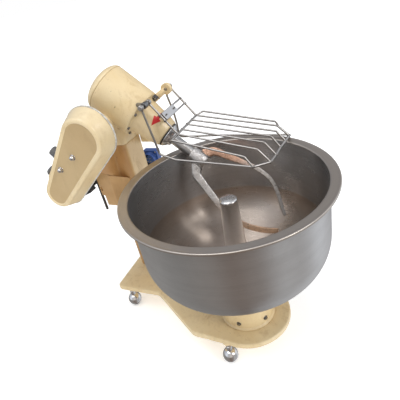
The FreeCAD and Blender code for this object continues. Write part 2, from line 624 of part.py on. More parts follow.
sk = sketch(b, "XY", [[(r1 - 4.5, -1.6), (r1 + 1, -3.2), (r1 + 1, 3.2), (r1 - 4.5, 1.6)]], lift=-num("wheel_at") - 17)
pk = pocket(b, sk, 34.0, back=True)
pp = b.newObject("PartDesign::PolarPattern", nid("Polar"))
pp.Originals = [pk]
pp.Axis = (sk, ["N_Axis"])
pp.Angle = 360.0
pp.Occurrences = 36
b.Tip = pp
keep(b)

# worm shaft with its bearings and end covers
fy = S("fork_y")
w0, w1 = fy - 30, fy + 30
loop = [(0, -19.0), (S("worm_shaft_r") - 1, -19.0), (S("worm_shaft_r"), -18.0), (S("worm_shaft_r"), w0 - 12), (15.0, w0 - 10), (15.0, w0)]
n = 6
for i in range(n):
    z = w0 + i * 10.0
    loop += [(15.0, z + 1.4), (S("worm_r"), z + 3.6), (S("worm_r"), z + 6.4), (15.0, z + 8.6)]
loop += [(15.0, w1 + 10), (S("worm_shaft_r"), w1 + 12), (S("worm_shaft_r"), 284.0), (0, 284.0)]
turned("worm_shaft", loop, WORM)
solid_node("worm_bearings", Part.makeCompound([tube(26.0, num("worm_shaft_r") + 0.05, z, z + 15.0) for z in (46.0, 268.0)]), WORM)
b = new_body("worm_cover_near", WORM)
revolve(b, [(S("worm_shaft_r") + 1.5, 32.02), (42.0, 32.02), (42.0, 37.98), (25.97, 37.98), (25.97, 45.9), (S("worm_shaft_r") + 1.5, 45.9)])
doc.recompute()
pocket(b, sketch(b, "XY", circles=[(px, -pz, 4.03) for px, pz in PLATE_BOLTS], lift=31.0), 8.0, back=True)
keep(b)
b = new_body("worm_cover_far", WORM)
revolve(b, [(0, 285.5), (20.0, 285.5), (20.0, 283.2), (25.97, 283.2), (25.97, 290.02), (42.0, 290.02), (42.0, 294.0), (40.0, 296.0), (0, 296.0)])
doc.recompute()
pocket(b, sketch(b, "XY", circles=[(px, -pz, 4.03) for px, pz in PLATE_BOLTS], lift=289.0), 8.0, back=True)
keep(b)

# ---------------------------------------------------------------- belt drive
sp = S("belt_span")
top, foot = S("cover_top_r"), S("cover_foot_r")
front, back = S("cover_front"), S("cover_back")
b = new_body("back_plate", BELT)
pad(b, tear_sketch(b, foot + 3, top + 3, sp, -32.0), 6.0)
doc.recompute()
z = -33.0
pocket(b, sketch(b, "XY", circles=[(sp, 0, 15.0)], lift=z), 8.0, back=True)
pocket(b, sketch(b, "XY", circles=[(0, 0, 22.0)], lift=z), 8.0, back=True)
pocket(b, sketch(b, "XY", circles=[(8, 0, 22.0)], lift=z), 8.0, back=True)
pocket(b, sketch(b, "XY", [[(0, -22), (8, -22), (8, 22), (0, 22)]], lift=z), 8.0, back=True)
MB = [(40, 40), (-40, 40), (-40, -40), (40, -40)]
for k in (0, 8):
    pocket(b, sketch(b, "XY", circles=[(x + k, y, 4.6) for x, y in MB], lift=z), 8.0, back=True)
pocket(b, sketch(b, "XY", [[(x, y - 4.6), (x + 8, y - 4.6), (x + 8, y + 4.6), (x, y + 4.6)] for x, y in MB], lift=z), 8.0, back=True)
cb, sb = math.cos(BA), math.sin(BA)
pb_local = [(sp.value + px * cb + pz * sb, -px * sb + pz * cb) for px, pz in PLATE_BOLTS]
pocket(b, sketch(b, "XY", circles=[(x, y, 4.3) for x, y in pb_local], lift=z), 8.0, back=True)
STUDS = [(226.9, 3.1), (134.1, 26.3)]
pocket(b, sketch(b, "XY", circles=[(x, y, 5.03) for x, y in STUDS], lift=z), 8.0, back=True)
keep(b)
shapes = [bolt(4.0, 21.0, 13.0, 4.6, (px, -pz, 25.98), (0, 0, 1)) for px, pz in PLATE_BOLTS]
shapes += [bolt(4.0, 15.0, 13.0, 5.0, (px, -pz, 296.02), (0, 0, -1)) for px, pz in PLATE_BOLTS]
solid_node("worm_case_bolts", Part.makeCompound(shapes), WORM)

b = new_body("belt_cover", BELT)
draft = math.degrees(math.atan(num("cover_draft") / (num("cover_front") - num("cover_back"))))
f = pad(b, tear_sketch(b, foot, top, sp, back.value + 0.02), front - back - 0.02)
f.TaperAngle = -draft
dress(b, "Fillet", flat_at(front.value), 9.0)
t = S("sheet")
f = pocket(b, tear_sketch(b, foot - t, top - t, sp, back.value + 0.02), front - back - t, back=True)
f.TaperAngle = -draft
doc.recompute()
pocket(b, tear_sketch(b, foot - S("cover_draft") - 10, top - S("cover_draft") - 13, sp, front.value + 0.01), 1.6)
pocket(b, sketch(b, "XY", circles=[(x, y, 5.3) for x, y in STUDS], lift=front.value + 1), 12.0)
keep(b)
shapes = []
for x, y in STUDS:
    st = Part.makeCylinder(5.0, 60.0 + 5.4, V(x, y, -32.0))
    nut = hexagon(18.0, 6.0, 32.46).fuse(Part.makeSphere(8.0, V(x - x, y - y, 38.4)).common(Part.makeCylinder(9.0, 20.0, V(0, 0, 37.0))))
    nut = nut.removeSplitter()
    nut.translate(V(x, y, 0))
    shapes.append(fuse([nut, st]))
solid_node("cover_studs", Part.makeCompound(shapes), BELT)


def pulley(label, place, rim, bottom, bore, z0, z1):
    """Two-groove pulley, belt planes given as depths in front of the plate."""
    loop = [(bore, z0), (rim, z0)]
    for a, c in ((-5.5, 5.5), (6.5, 17.5)):
        loop += [(rim, a), (bottom, a + 1.0), (bottom, c - 1.0), (rim, c)]
    loop += [(rim, z1), (bore, z1)]
    return turned(label, loop, place)


pulley("big_pulley", WORM, S("big_pulley_r") - 2, S("big_pulley_r") - 14, S("worm_shaft_r") + 0.02, -8.0, 20.0)
pulley("motor_pulley", MOTOR, S("small_pulley_r"), S("small_pulley_r") - 12, 12.02, -8.0, 20.0)


def loop_face(r_small, r_big, z):
    """Face inside the open belt line round both pulleys."""
    L = num("belt_span")
    f = math.acos((r_small - r_big) / L)
    c, s = math.cos(f), math.sin(f)
    e = [Part.Arc(V(L + r_big * c, -r_big * s, z), V(L + r_big, 0, z), V(L + r_big * c, r_big * s, z)).toShape(),
         Part.makeLine(V(L + r_big * c, r_big * s, z), V(r_small * c, r_small * s, z)),
         Part.Arc(V(r_small * c, r_small * s, z), V(-r_small, 0, z), V(r_small * c, -r_small * s, z)).toShape(),
         Part.makeLine(V(r_small * c, -r_small * s, z), V(L + r_big * c, -r_big * s, z))]
    return Part.Face(Part.Wire(e))


belts = []
for z in (-4.2, -16.2):
    o_ = loop_face(num("small_pulley_r") - 3, num("big_pulley_r") - 5, z).extrude(V(0, 0, 8.4))
    belts.append(o_.cut(loop_face(num("small_pulley_r") - 10.5, num("big_pulley_r") - 12.5, z - 1).extrude(V(0, 0, 11))))
solid_node("v_belts", Part.makeCompound(belts), BELT)

# ---------------------------------------------------------------- motor
b = new_body("motor_flange", MOTOR)
revolve(b, [(12.6, 32.4), (70.0, 32.4), (70.0, 42.0), (58.0, 48.0), (34.0, 48.0), (34.0, 61.0), (26.02, 61.0), (26.02, 45.0), (12.6, 45.0)])
doc.recompute()
pocket(b, sketch(b, "XY", circles=[(x * cb - y * sb, -(x * sb + y * cb), 4.3) for x, y in MB], lift=31.0), 20.0, back=True)
keep(b)
shapes = [bolt(4.0, 22.0, 13.0, 4.6, (x * cb - y * sb, -(x * sb + y * cb), 25.7), (0, 0, 1)) for x, y in MB]
solid_node("motor_bolts", Part.makeCompound(shapes), MOTOR)
mr = S("motor_r")
b = new_body("motor_body", MOTOR)
revolve(b, [(46.0, 48.02), (mr - 7, 48.02), (mr - 7, 212.0), (46.0, 212.0)])
doc.recompute()
sk = sketch(b, "XY", [[(mr - 9, -1.6), (mr, -1.1), (mr, 1.1), (mr - 9, 1.6)]], lift=52.0)
pd = pad(b, sk, 156.0)
pp = b.newObject("PartDesign::PolarPattern", nid("Polar"))
pp.Originals = [pd]
pp.Axis = (sk, ["N_Axis"])
pp.Angle = 360.0
pp.Occurrences = 30
b.Tip = pp
doc.recompute()
pad(b, sketch(b, "XY", [[(27.3, 64.0), (77.3, 41.5), (65.0, 14.1), (21.6, 51.2)]], lift=60.0), 36.0)
keep(b)
turned("motor_end_shield", [(16.0, 218.0), (16.0, 222.0), (mr - 3, 222.0), (mr - 3, 212.02), (34.0, 212.02), (34.0, 204.0), (26.02, 204.0), (26.02, 218.0)], MOTOR)
turned("motor_rotor", [(0, -10.0), (12.0, -10.0), (12.0, 68.0), (44.0, 68.0), (44.0, 196.0), (14.0, 196.0), (14.0, 236.0), (0, 236.0)], MOTOR)
solid_node("motor_bearings", Part.makeCompound([tube(26.0, 12.05, 45.1, 60.0), tube(26.0, 14.05, 205.0, 217.9)]), MOTOR)
fan = [Part.makeCylinder(20.0, 16.0, V(0, 0, 226.0)).cut(Part.makeCylinder(14.02, 20, V(0, 0, 225.0)))]
for i in range(7):
    bl_ = Part.makeBox(34.0, 2.4, 16.0, V(18.5, -1.2, 226.0))
    bl_.rotate(V(0, 0, 0), V(0, 0, 1), i * 360.0 / 7)
    fan.append(bl_)
solid_node("motor_fan", fuse(fan), MOTOR)
b = new_body("fan_cowl", MOTOR)
revolve(b, [(mr - 3 + 0.02, 214.0), (mr, 214.0), (mr, 256.0), (mr - 6, 262.0), (14.0, 262.0), (14.0, 259.5), (mr - 7, 259.5), (mr - 3 + 0.02, 255.0)])
doc.recompute()
sk = sketch(b, "XY", [[(24, -3), (54, -3), (54, 3), (24, 3)]], lift=263.0)
pk = pocket(b, sk, 6.0)
pp = b.newObject("PartDesign::PolarPattern", nid("Polar"))
pp.Originals = [pk]
pp.Axis = (sk, ["N_Axis"])
pp.Angle = 360.0
pp.Occurrences = 12
b.Tip = pp
keep(b)

# ---------------------------------------------------------------- brackets behind the drive
b = new_body("motor_bracket", BOWL)
top_z = lambda y: 693.5 - (y - 32.0) * 0.754
pad(b, sketch(b, "XY", [[(-604, 100), (-537, 100), (-480, 150), (-480, 152.98), (-604, 152.98)]], lift=497.0), 193.0)
doc.recompute()
pocket(b, sketch(b, "YZ", [[(98, top_z(98)), (155, top_z(155)), (155, 700), (98, 700)]], lift=-470.0), 67.0)
pocket(b, sketch(b, "XY", [[(-582, 108), (-545, 108), (-545, 145), (-582, 145)]], lift=496.0), 186.0, back=True)
pocket(b, sketch(b, "XZ", [[(-606, 490), (-590, 490), (-590, 545), (-606, 545)]], lift=-98.0), 60.0)
pocket(b, sketch(b, "XZ", [[(-600, 566), (-592, 566), (-592, 585), (-600, 585)]], lift=-98.0), 9.0)
pocket(b, sketch(b, "YZ", circles=[(116.0, 562.0, 3.03), (116.0, 606.0, 3.03)], lift=-606.0), 16.0, back=True)
keep(b)
b = new_body("support_plate", BOWL)
pad(b, sketch(b, "YZ", [[(100, 473), (108, 473), (108, 548), (126, 548), (126, 624), (100, 624)]], lift=-611.0), 6.98)
doc.recompute()
pocket(b, sketch(b, "YZ", circles=[(116.0, 562.0, 3.03), (116.0, 606.0, 3.03)], lift=-612.0), 9.0, back=True)
keep(b)
shapes = [bolt(3.0, 18.0, 10.0, 4.0, (-611.02, 116.0, z), (1, 0, 0)) for z in (562.0, 606.0)]
solid_node("strap_bolts", Part.makeCompound(shapes), BOWL)

# ---------------------------------------------------------------- control box
b = new_body("control_box", BELT)
pad(b, sketch(b, "XY", [[(-34, 77), (150, 77), (150, 93), (-34, 93)]], lift=-80.0), 45.0)
doc.recompute()
dress(b, "Fillet", lambda e: upright(-34, 93)(e) or upright(150, 93)(e), 5.0)
sk = sketch(b, "XZ", circles=[(90.0, -57.0, 4.06), (-10.474, -57.0, 4.06)], lift=-94.0)
pocket(b, sk, 12.0, back=True)
keep(b)
for k, x, tall in ((1, 90.0, 32.0), (2, -10.474, 14.0)):
    b = new_body("knob_%d" % k, FreeCAD.Placement(BELT.multVec(V(x, 93.4, -57.0)), BELT.Rotation.multiply(FreeCAD.Rotation(V(1, 0, 0), -90))))
    revolve(b, [(0, -8.0), (4.0, -8.0), (4.0, 0), (21.0, 0), (22.5, 2.0), (22.5, 8.0), (20.5, 10.0), (19.5, tall - 2.0), (17.5, tall), (0, tall)])
    doc.recompute()
    pad(b, sketch(b, "XY", [[(2.0, -2.6), (17.4, -2.6), (17.4, 2.6), (2.0, 2.6)]], lift=tall - 4.0), 3.99)
    keep(b)

# ---------------------------------------------------------------- power inlet
b = new_body("inlet_box", BOWL)
pad(b, sketch(b, "XZ", [[(-504, 571), (-436, 571), (-436, 639), (-504, 639)]], lift=-346.0), 28.0)
doc.recompute()
pocket(b, sketch(b, "XZ", [[(-500.5, 574.5), (-439.5, 574.5), (-439.5, 635.5), (-500.5, 635.5)]], lift=-342.5), 28.0, back=True)
pad(b, sketch(b, "XY", [[(-510, 272.02), (-480, 272.02), (-480, 276), (-506.3, 276), (-506.3, 319), (-502, 319), (-502, 330), (-510, 330)]], lift=584.0), 44.0)
keep(b)
b = new_body("power_inlet", FreeCAD.Placement(V(-470, 318.0, 605) + OFF, FreeCAD.Rotation(V(1, 0, 0), 90)))
pad(b, sketch(b, "XY", [[(-36, -36), (36, -36), (36, 36), (-36, 36)]]), 4.0)
doc.recompute()
dress(b, "Fillet", lambda e: any(upright(sx * 36, sy * 36)(e) for sx in (-1, 1) for sy in (-1, 1)), 6.0)
pad(b, sketch(b, "XY", circles=[(0, 0, 28.0)], lift=3.0), 22.0)
doc.recompute()
pocket(b, sketch(b, "XY", circles=[(0, 0, 25.0)], lift=26.0), 20.0)
pocket(b, sketch(b, "XY", circles=[(sx * 29, sy * 29, 2.6) for sx in (-1, 1) for sy in (-1, 1)], lift=5.0), 8.0)
pad(b, sketch(b, "XY", circles=[(0, 0, 17.0)], lift=4.0), 14.0)
doc.recompute()
for k in range(4):
    a = math.radians(45 + 90 * k)
    pad(b, sketch(b, "XY", circles=[(10 * math.cos(a), 10 * math.sin(a), 2.4)], lift=17.0), 6.0)
keep(b)

# ---------------------------------------------------------------- fork
hz = num("hub_at")
yb = 19.0
b = new_body("fork_hub", FORK)
revolve(b, [(S("fork_shaft_r") + 0.02, hub_z - 52), (23.0, hub_z - 50), (28.0, hub_z - 26), (29.0, hub_z - 4), (25.0, hub_z + 12), (0, hub_z + 12),
            (0, hub_z - 7.9), (S("fork_shaft_r") + 0.02, hub_z - 7.9)])
doc.recompute()
keep(b)
ks = Part.makeCylinder(29.5, 80, V(0, 0, hz - 40))
# the far arm turns in early at its foot, the near arm runs straight down before it turns
PF = [(22, -12, 18, 19), (40, 0, 17, 17), (55, 16, 15, 15), (68, 60, 12, 12), (84, 118, 9.5, 10.5), (95, 160, 8, 9.5), (98.5, 190, 7.5, 9),
      (98, 222, 7.2, 8.5), (91, 252, 7, 8.2), (75, 284, 6.8, 8), (56, 313, 6.6, 7.6), (39, 336, 6.3, 7.2), (26, 358, 6, 7)]
PN = [(22, -12, 18, 19), (40, 0, 17, 17), (55, 16, 16, 15), (68, 60, 13, 12), (84, 118, 12, 11), (95, 160, 11, 10.5), (98.5, 190, 10, 10),
      (98.5, 222, 9, 9.5), (96, 252, 8.5, 9), (89, 282, 8.2, 8.5), (76, 314, 8, 8), (59, 345, 7.5, 7.5), (39, 373, 6.5, 6.5)]


def section(c, t, a, h):
    """Rounded rectangle, half size a across the fork plane's width and h through it."""
    t = V(t[0], 0, t[1])
    t.normalize()
    yv = V(0, 1, 0)
    xv = yv.cross(t)
    rr = min(a, h) * 0.55
    pts = []
    for sx, sy, a0 in ((1, 1, 0), (-1, 1, 90), (-1, -1, 180), (1, -1, 270)):
        for k in range(4):
            an = math.radians(a0 + 30 * k)
            pts.append(V(c[0], 0, c[1]) + xv * (sx * (a - rr) + rr * math.cos(an)) + yv * (sy * (h - rr) + rr * math.sin(an)))
    pts.append(pts[0])
    return Part.makePolygon(pts)


def prong(side):
    wires = []
    keys = PF if side > 0 else PN
    n = len(keys)
    for i, (x, z, a, h) in enumerate(keys):
        p0, p1 = keys[max(0, i - 1)], keys[min(n - 1, i + 1)]
        t = (side * (p1[0] - p0[0]), p1[1] - p0[1])
        wires.append(section((side * x, hz + z), t, a, h))
    s = Part.makeLoft(wires, True, True)
    hub = b.Shape.copy()
    hub.Placement = FreeCAD.Placement()
    s = s.cut(Part.makeCylinder(29.02, 300, V(0, 0, hz - 200)).fuse(Part.makeBox(2, 2, 2, V(200, 200, 0))))
    tip = keys[-1]
    s = s.fuse(Part.makeSphere(tip[2] * 0.93, V(side * tip[0], 0, hz + tip[1])))
    s = s.removeSplitter()
    sol = sorted(s.Solids, key=lambda k: -k.Volume)
    return sol[0]


solid_node("prong_left", prong(1), FORK)
solid_node("prong_right", prong(-1), FORK)

# ---------------------------------------------------------------- wire guard
R_ = num("wire_r")
PX, PZ = num("pivot_x"), num("pivot_z")
REAR = (-201.5, 800.5)


def bent(points, r, bend=14.0):
    """Round wire along a polyline whose corners are rounded by arcs."""
    p = [V(*k) for k in points]
    out, last = [], p[0]
    for i in range(1, len(p) - 1):
        a, c = (p[i - 1] - p[i]), (p[i + 1] - p[i])
        la, lc = a.Length, c.Length
        a.normalize()
        c.normalize()
        half = a.getAngle(c) / 2.0
        t = min(bend / math.tan(half), 0.42 * la, 0.42 * lc)
        s_, e_ = p[i] + a * t, p[i] + c * t
        m = (a + c)
        m.normalize()
        rad = t * math.tan(half)
        mid = p[i] + m * (rad / math.sin(half) - rad)
        out.append(Part.makeLine(last, s_))
        out.append(Part.Arc(s_, mid, e_).toShape())
        last = e_
    out.append(Part.makeLine(last, p[-1]))
    path = Part.Wire(out)
    d = p[1] - p[0]
    prof = Part.Wire([Part.makeCircle(r, p[0], d)])
    if len(p) == 2:
        return Part.makeCylinder(r, d.Length, p[0], d)
    return path.makePipeShell([prof], True, False)


def blob(x, y, z, r):
    return Part.makeSphere(r, V(x, y, z))


ym = [292.0, 250.0, 211.0, 167.0, 128.0, 80.0]
bends = [(98.9, 752.4), (105.4, 751.0), (97.0, 751.0), (85.0, 750.0), (73.1, 744.2), (44.2, 742.5)]
ends = [(137.4, 714.6), (133.6, 715.0), (125.8, 710.2), (120.7, 705.1), (112.2, 699.0), (68.0, 706.8)]
zf_ = lambda x: PZ + (x - PX) * (REAR[1] - PZ) / (REAR[0] - PX)
bars = []
# outer frame first: rear edge, front edge, side rails
bars.append(bent([(REAR[0], 294.0, REAR[1]), (REAR[0], 78.0, REAR[1])], R_ + 0.4))
bars.append(bent([(131.6, 314.0, 708.0)] + [(e[0], y, e[1]) for y, e in zip(ym, ends)], R_ + 0.3, 10.0))
for y, bnd, e in zip(ym, bends, ends):
    bars.append(bent([(REAR[0], y, REAR[1]), (bnd[0], y, bnd[1]), (e[0], y, e[1])], R_ - 0.4))
bars.append(bent([(REAR[0], 292.0, REAR[1]), (-182.6, 316.0, 806.7), (88.4, 316.0, 758.0), (97.4, 316.0, 738.9), (131.6, 314.0, 708.0)], R_ - 0.2, 10.0))
bars.append(bent([(PX, 81.0, PZ), (-267.7, 81.0, 797.7), (-261.4, 81.0, 747.6), (-202.9, 80.3, 727.2), (68.0, 80.0, 706.8)], R_))
bars.append(bent([(PX, 292.4, PZ), (-305.4, 292.4, 883.8), (-292.9, 292.2, 818.3), (-290.1, 292.0, 769.0), (-294.0, 294.0, 714.0), (-120.0, 314.0, 709.5), (131.6, 314.0, 708.0)], R_))
bars.append(bent([(PX, 291.6, PZ), (REAR[0], 291.6, REAR[1])], R_ + 0.15))
bars.append(bent([(PX, 130.0, PZ), (REAR[0], 130.0, REAR[1])], R_ + 0.15))
for x in (-251.6, -237.5):
    bars.append(bent([(x, 291.6, zf_(x)), (x, 130.0, zf_(x))], R_ - 0.5))
for c in ((REAR[0], 292.0, REAR[1]), (REAR[0], 80.0, REAR[1]), (131.6, 314.0, 708.0), (68.0, 80.0, 706.8), (137.4, 292.0, 714.6)):
    bars.append(blob(c[0], c[1], c[2], R_ + 1.1))
for y in (81.0, 130.0, 292.0):
    bars.append(Part.makeCylinder(9.5, 9.0, V(PX, y - 4.5, PZ), V(0, 1, 0)))
rodcut = Part.makeCylinder(num("rod_r") + 0.02, 230.0, V(PX, 75.0, PZ), V(0, 1, 0))
guard = bars[0]
for k in bars[1:]:
    guard = guard.fuse(k)
guard = guard.cut(rodcut).removeSplitter()
guard = sorted(guard.Solids, key=lambda k: -k.Volume)[0]
solid_node("wire_guard", guard, BOWL)
rr = num("rod_r")


def pin(y0, y1, heads_at):
    """Pivot pin between two stations along the hinge line, with heads of 4.2."""
    s = Part.makeCylinder(rr, y1 - y0, V(PX, y0, PZ), V(0, 1, 0))
    for ya in heads_at:
        s = s.fuse(Part.makeCylinder(rr + 3, 4.2, V(PX, ya, PZ), V(0, 1, 0)))
    return s.removeSplitter()


solid_node("pivot_pins", Part.makeCompound([pin(72.0, 138.8, (72.0, 134.6)), pin(257.0, 301.0, (296.8,))]), BOWL)
mid = 179.0
cl = [(x, zf_(x)) for x in (-251.6, -237.5)]
blk = Part.makeBox(28.0, 86.0, 12.0, V(-14, -43, -6.0))
ang = math.degrees(math.atan2(cl[1][1] - cl[0][1], cl[1][0] - cl[0][0]))
blk.rotate(V(0, 0, 0), V(0, 1, 0), -ang)
blk.translate(V((cl[0][0] + cl[1][0]) / 2, mid, (cl[0][1] + cl[1][1]) / 2))
for x, zz in cl:
    blk = blk.cut(Part.makeCylinder(R_ - 0.48, 100.0, V(x, mid - 50, zz), V(0, 1, 0)))
heads = [blk]
for dy in (-30.0, 30.0):
    hd_b = Part.makeCylinder(3.0, 5.0, V(0, dy, 5.9))
    hd_b.rotate(V(0, 0, 0), V(0, 1, 0), -ang)
    hd_b.translate(V((cl[0][0] + cl[1][0]) / 2, mid, (cl[0][1] + cl[1][1]) / 2))
    heads.append(hd_b)
solid_node("guard_clamp", fuse(heads), BOWL)

# arms that carry the guard's pivot rod, standing on the head
inv = HEAD.inverse()
pu, pd_ = hd(PX, PZ)


def arm(label, root, side, eye_r, wid, r0, r1):
    """Bar from a root point in the head to the eye round the pivot rod."""
    e = V(pu, -(side - num("fork_y")), pd_)
    a = V(*root)
    d = e - a
    s = Part.makeCone(r0, r1, d.Length, a, d)
    eye = Part.makeCylinder(eye_r, wid, e + V(0, wid / 2.0, 0), V(0, -1, 0))
    s = s.fuse(eye).removeSplitter()
    s = s.cut(head_outer)
    s = s.cut(Part.makeCylinder(num("rod_r") + 0.06, wid + 80, e + V(0, wid / 2.0 + 40, 0), V(0, -1, 0)))
    return sorted(s.Solids, key=lambda k: -k.Volume)[0], a, e


armf, af_, ef = arm("a", (46.0, -50.0, 14.0), 268.0, 20.0, 16.0, 12.0, 10.0)
solid_node("pivot_arm_far", armf, HEAD)
armn, an_, en = arm("b", (56.0, 50.0, -4.0), 104.0, 11.0, 18.0, 9.0, 7.5)
solid_node("pivot_arm_near", armn, HEAD)

# interlock switch on the head, under the pivot rod
sw = Part.makeBox(16.0, 20.0, 16.0, V(62.0, -42.0, 12.5)).cut(head_outer)
sw = sorted(sw.Solids, key=lambda k: -k.Volume)[0]
sw = sw.cut(Part.makeCylinder(2.1, 8.0, V(72.0, -43.0, 22.0), V(0, 1, 0)))
solid_node("limit_switch", sw, HEAD)
lv_o = (72.0, -42.0, 22.0)
lev = fuse([Part.makeCylinder(2.0, 10.0, V(0, 6.5, 0), V(0, -1, 0)),
            Part.makeBox(4.4, 3.0, 13.0, V(-2.2, -3.4, -2.2)),
            Part.makeCylinder(2.6, 3.0, V(0, -0.4, 10.6), V(0, -1, 0))])
solid_node("switch_lever", lev, at(HEAD, *lv_o))

# ---------------------------------------------------------------- check and write
doc.recompute()
bad = []
for o in doc.Objects:
    if "Invalid" in o.State or "Error" in o.State:
        bad.append(o.Name + " " + str(o.State))
for o in exported:
    s = o.Shape
    if s.isNull() or not s.isValid() or not s.Solids:
        bad.append("shape " + o.Label)
if len(exported) > 60:
    bad.append("too many nodes: %d" % len(exported))
if bad:
    raise RuntimeError("; ".join(bad))
os.makedirs("parts", exist_ok=True)
for o in exported:
    o.Shape.exportStep(os.path.join("parts", o.Label + ".step"))
print("%d nodes written" % len(exported))
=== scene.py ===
import bpy
import bmesh
import math
from mathutils import Vector, Matrix, noise


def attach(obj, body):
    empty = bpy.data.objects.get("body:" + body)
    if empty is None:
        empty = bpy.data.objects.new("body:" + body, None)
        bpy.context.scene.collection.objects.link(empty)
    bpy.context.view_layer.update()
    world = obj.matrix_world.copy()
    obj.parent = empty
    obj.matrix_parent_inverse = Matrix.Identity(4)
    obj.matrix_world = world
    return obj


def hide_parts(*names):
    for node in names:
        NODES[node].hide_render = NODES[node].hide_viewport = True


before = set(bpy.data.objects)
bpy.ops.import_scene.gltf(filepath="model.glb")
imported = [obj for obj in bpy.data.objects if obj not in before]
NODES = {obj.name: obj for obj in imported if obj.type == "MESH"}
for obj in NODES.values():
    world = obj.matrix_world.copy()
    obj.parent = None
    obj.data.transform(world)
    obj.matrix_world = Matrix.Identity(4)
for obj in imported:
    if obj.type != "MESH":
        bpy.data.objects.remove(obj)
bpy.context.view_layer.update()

# ------------------------------------------------------------------ places
# Machine sizes are written in millimetres with the bowl axis at X = Y = 0 and
# the floor at Z = 0, and moved to the row frame here.
DX, DY = 226.296, -40.486


def W(x, y, z):
    return Vector(((x + DX) / 1000.0, (y + DY) / 1000.0, z / 1000.0))


def basis(origin, xdir, zdir):
    """Matrix from local millimetres to the row frame in metres."""
    x, z = Vector(xdir).normalized(), Vector(zdir).normalized()
    y = z.cross(x)
    o = W(*origin)
    return Matrix(((x.x / 1000, y.x / 1000, z.x / 1000, o.x), (x.y / 1000, y.y / 1000, z.y / 1000, o.y),
                   (x.z / 1000, y.z / 1000, z.z / 1000, o.z), (0, 0, 0, 1)))


TILT = math.radians(42.2)
D = (math.cos(TILT), 0.0, -math.sin(TILT))
U = (math.sin(TILT), 0.0, math.cos(TILT))
HEAD_O = (-374.3, 187.0, 862.2)
PH = math.radians(37.3)
BA = math.radians(46.64)
BOWL = basis((0, 0, 0), (1, 0, 0), (0, 0, 1))
HEAD = basis(HEAD_O, U, D)
FORK = basis(HEAD_O, (math.cos(PH) * U[0], math.sin(PH), math.cos(PH) * U[2]), D)
BELT = basis((-695.3, 0, 623.5), (math.cos(BA), 0, math.sin(BA)), (0, -1, 0))
WORM = basis((-478.7, 0, 853.0), (1, 0, 0), (0, 1, 0))
MOTOR = basis((-695.3, 0, 623.5), (1, 0, 0), (0, 1, 0))
INLET = basis((-470, 318, 605), (1, 0, 0), (0, -1, 0))


def shifted(m, x, y, z):
    return m @ Matrix.Translation((x, y, z))


def aimed(point, axis, up=(0, 0, 1)):
    """Frame at a machine point with local Z along the axis."""
    z = Vector(axis).normalized()
    x = Vector(up).cross(z)
    if x.length < 1e-4:
        x = Vector((1, 0, 0))
    return basis(point, x, z)


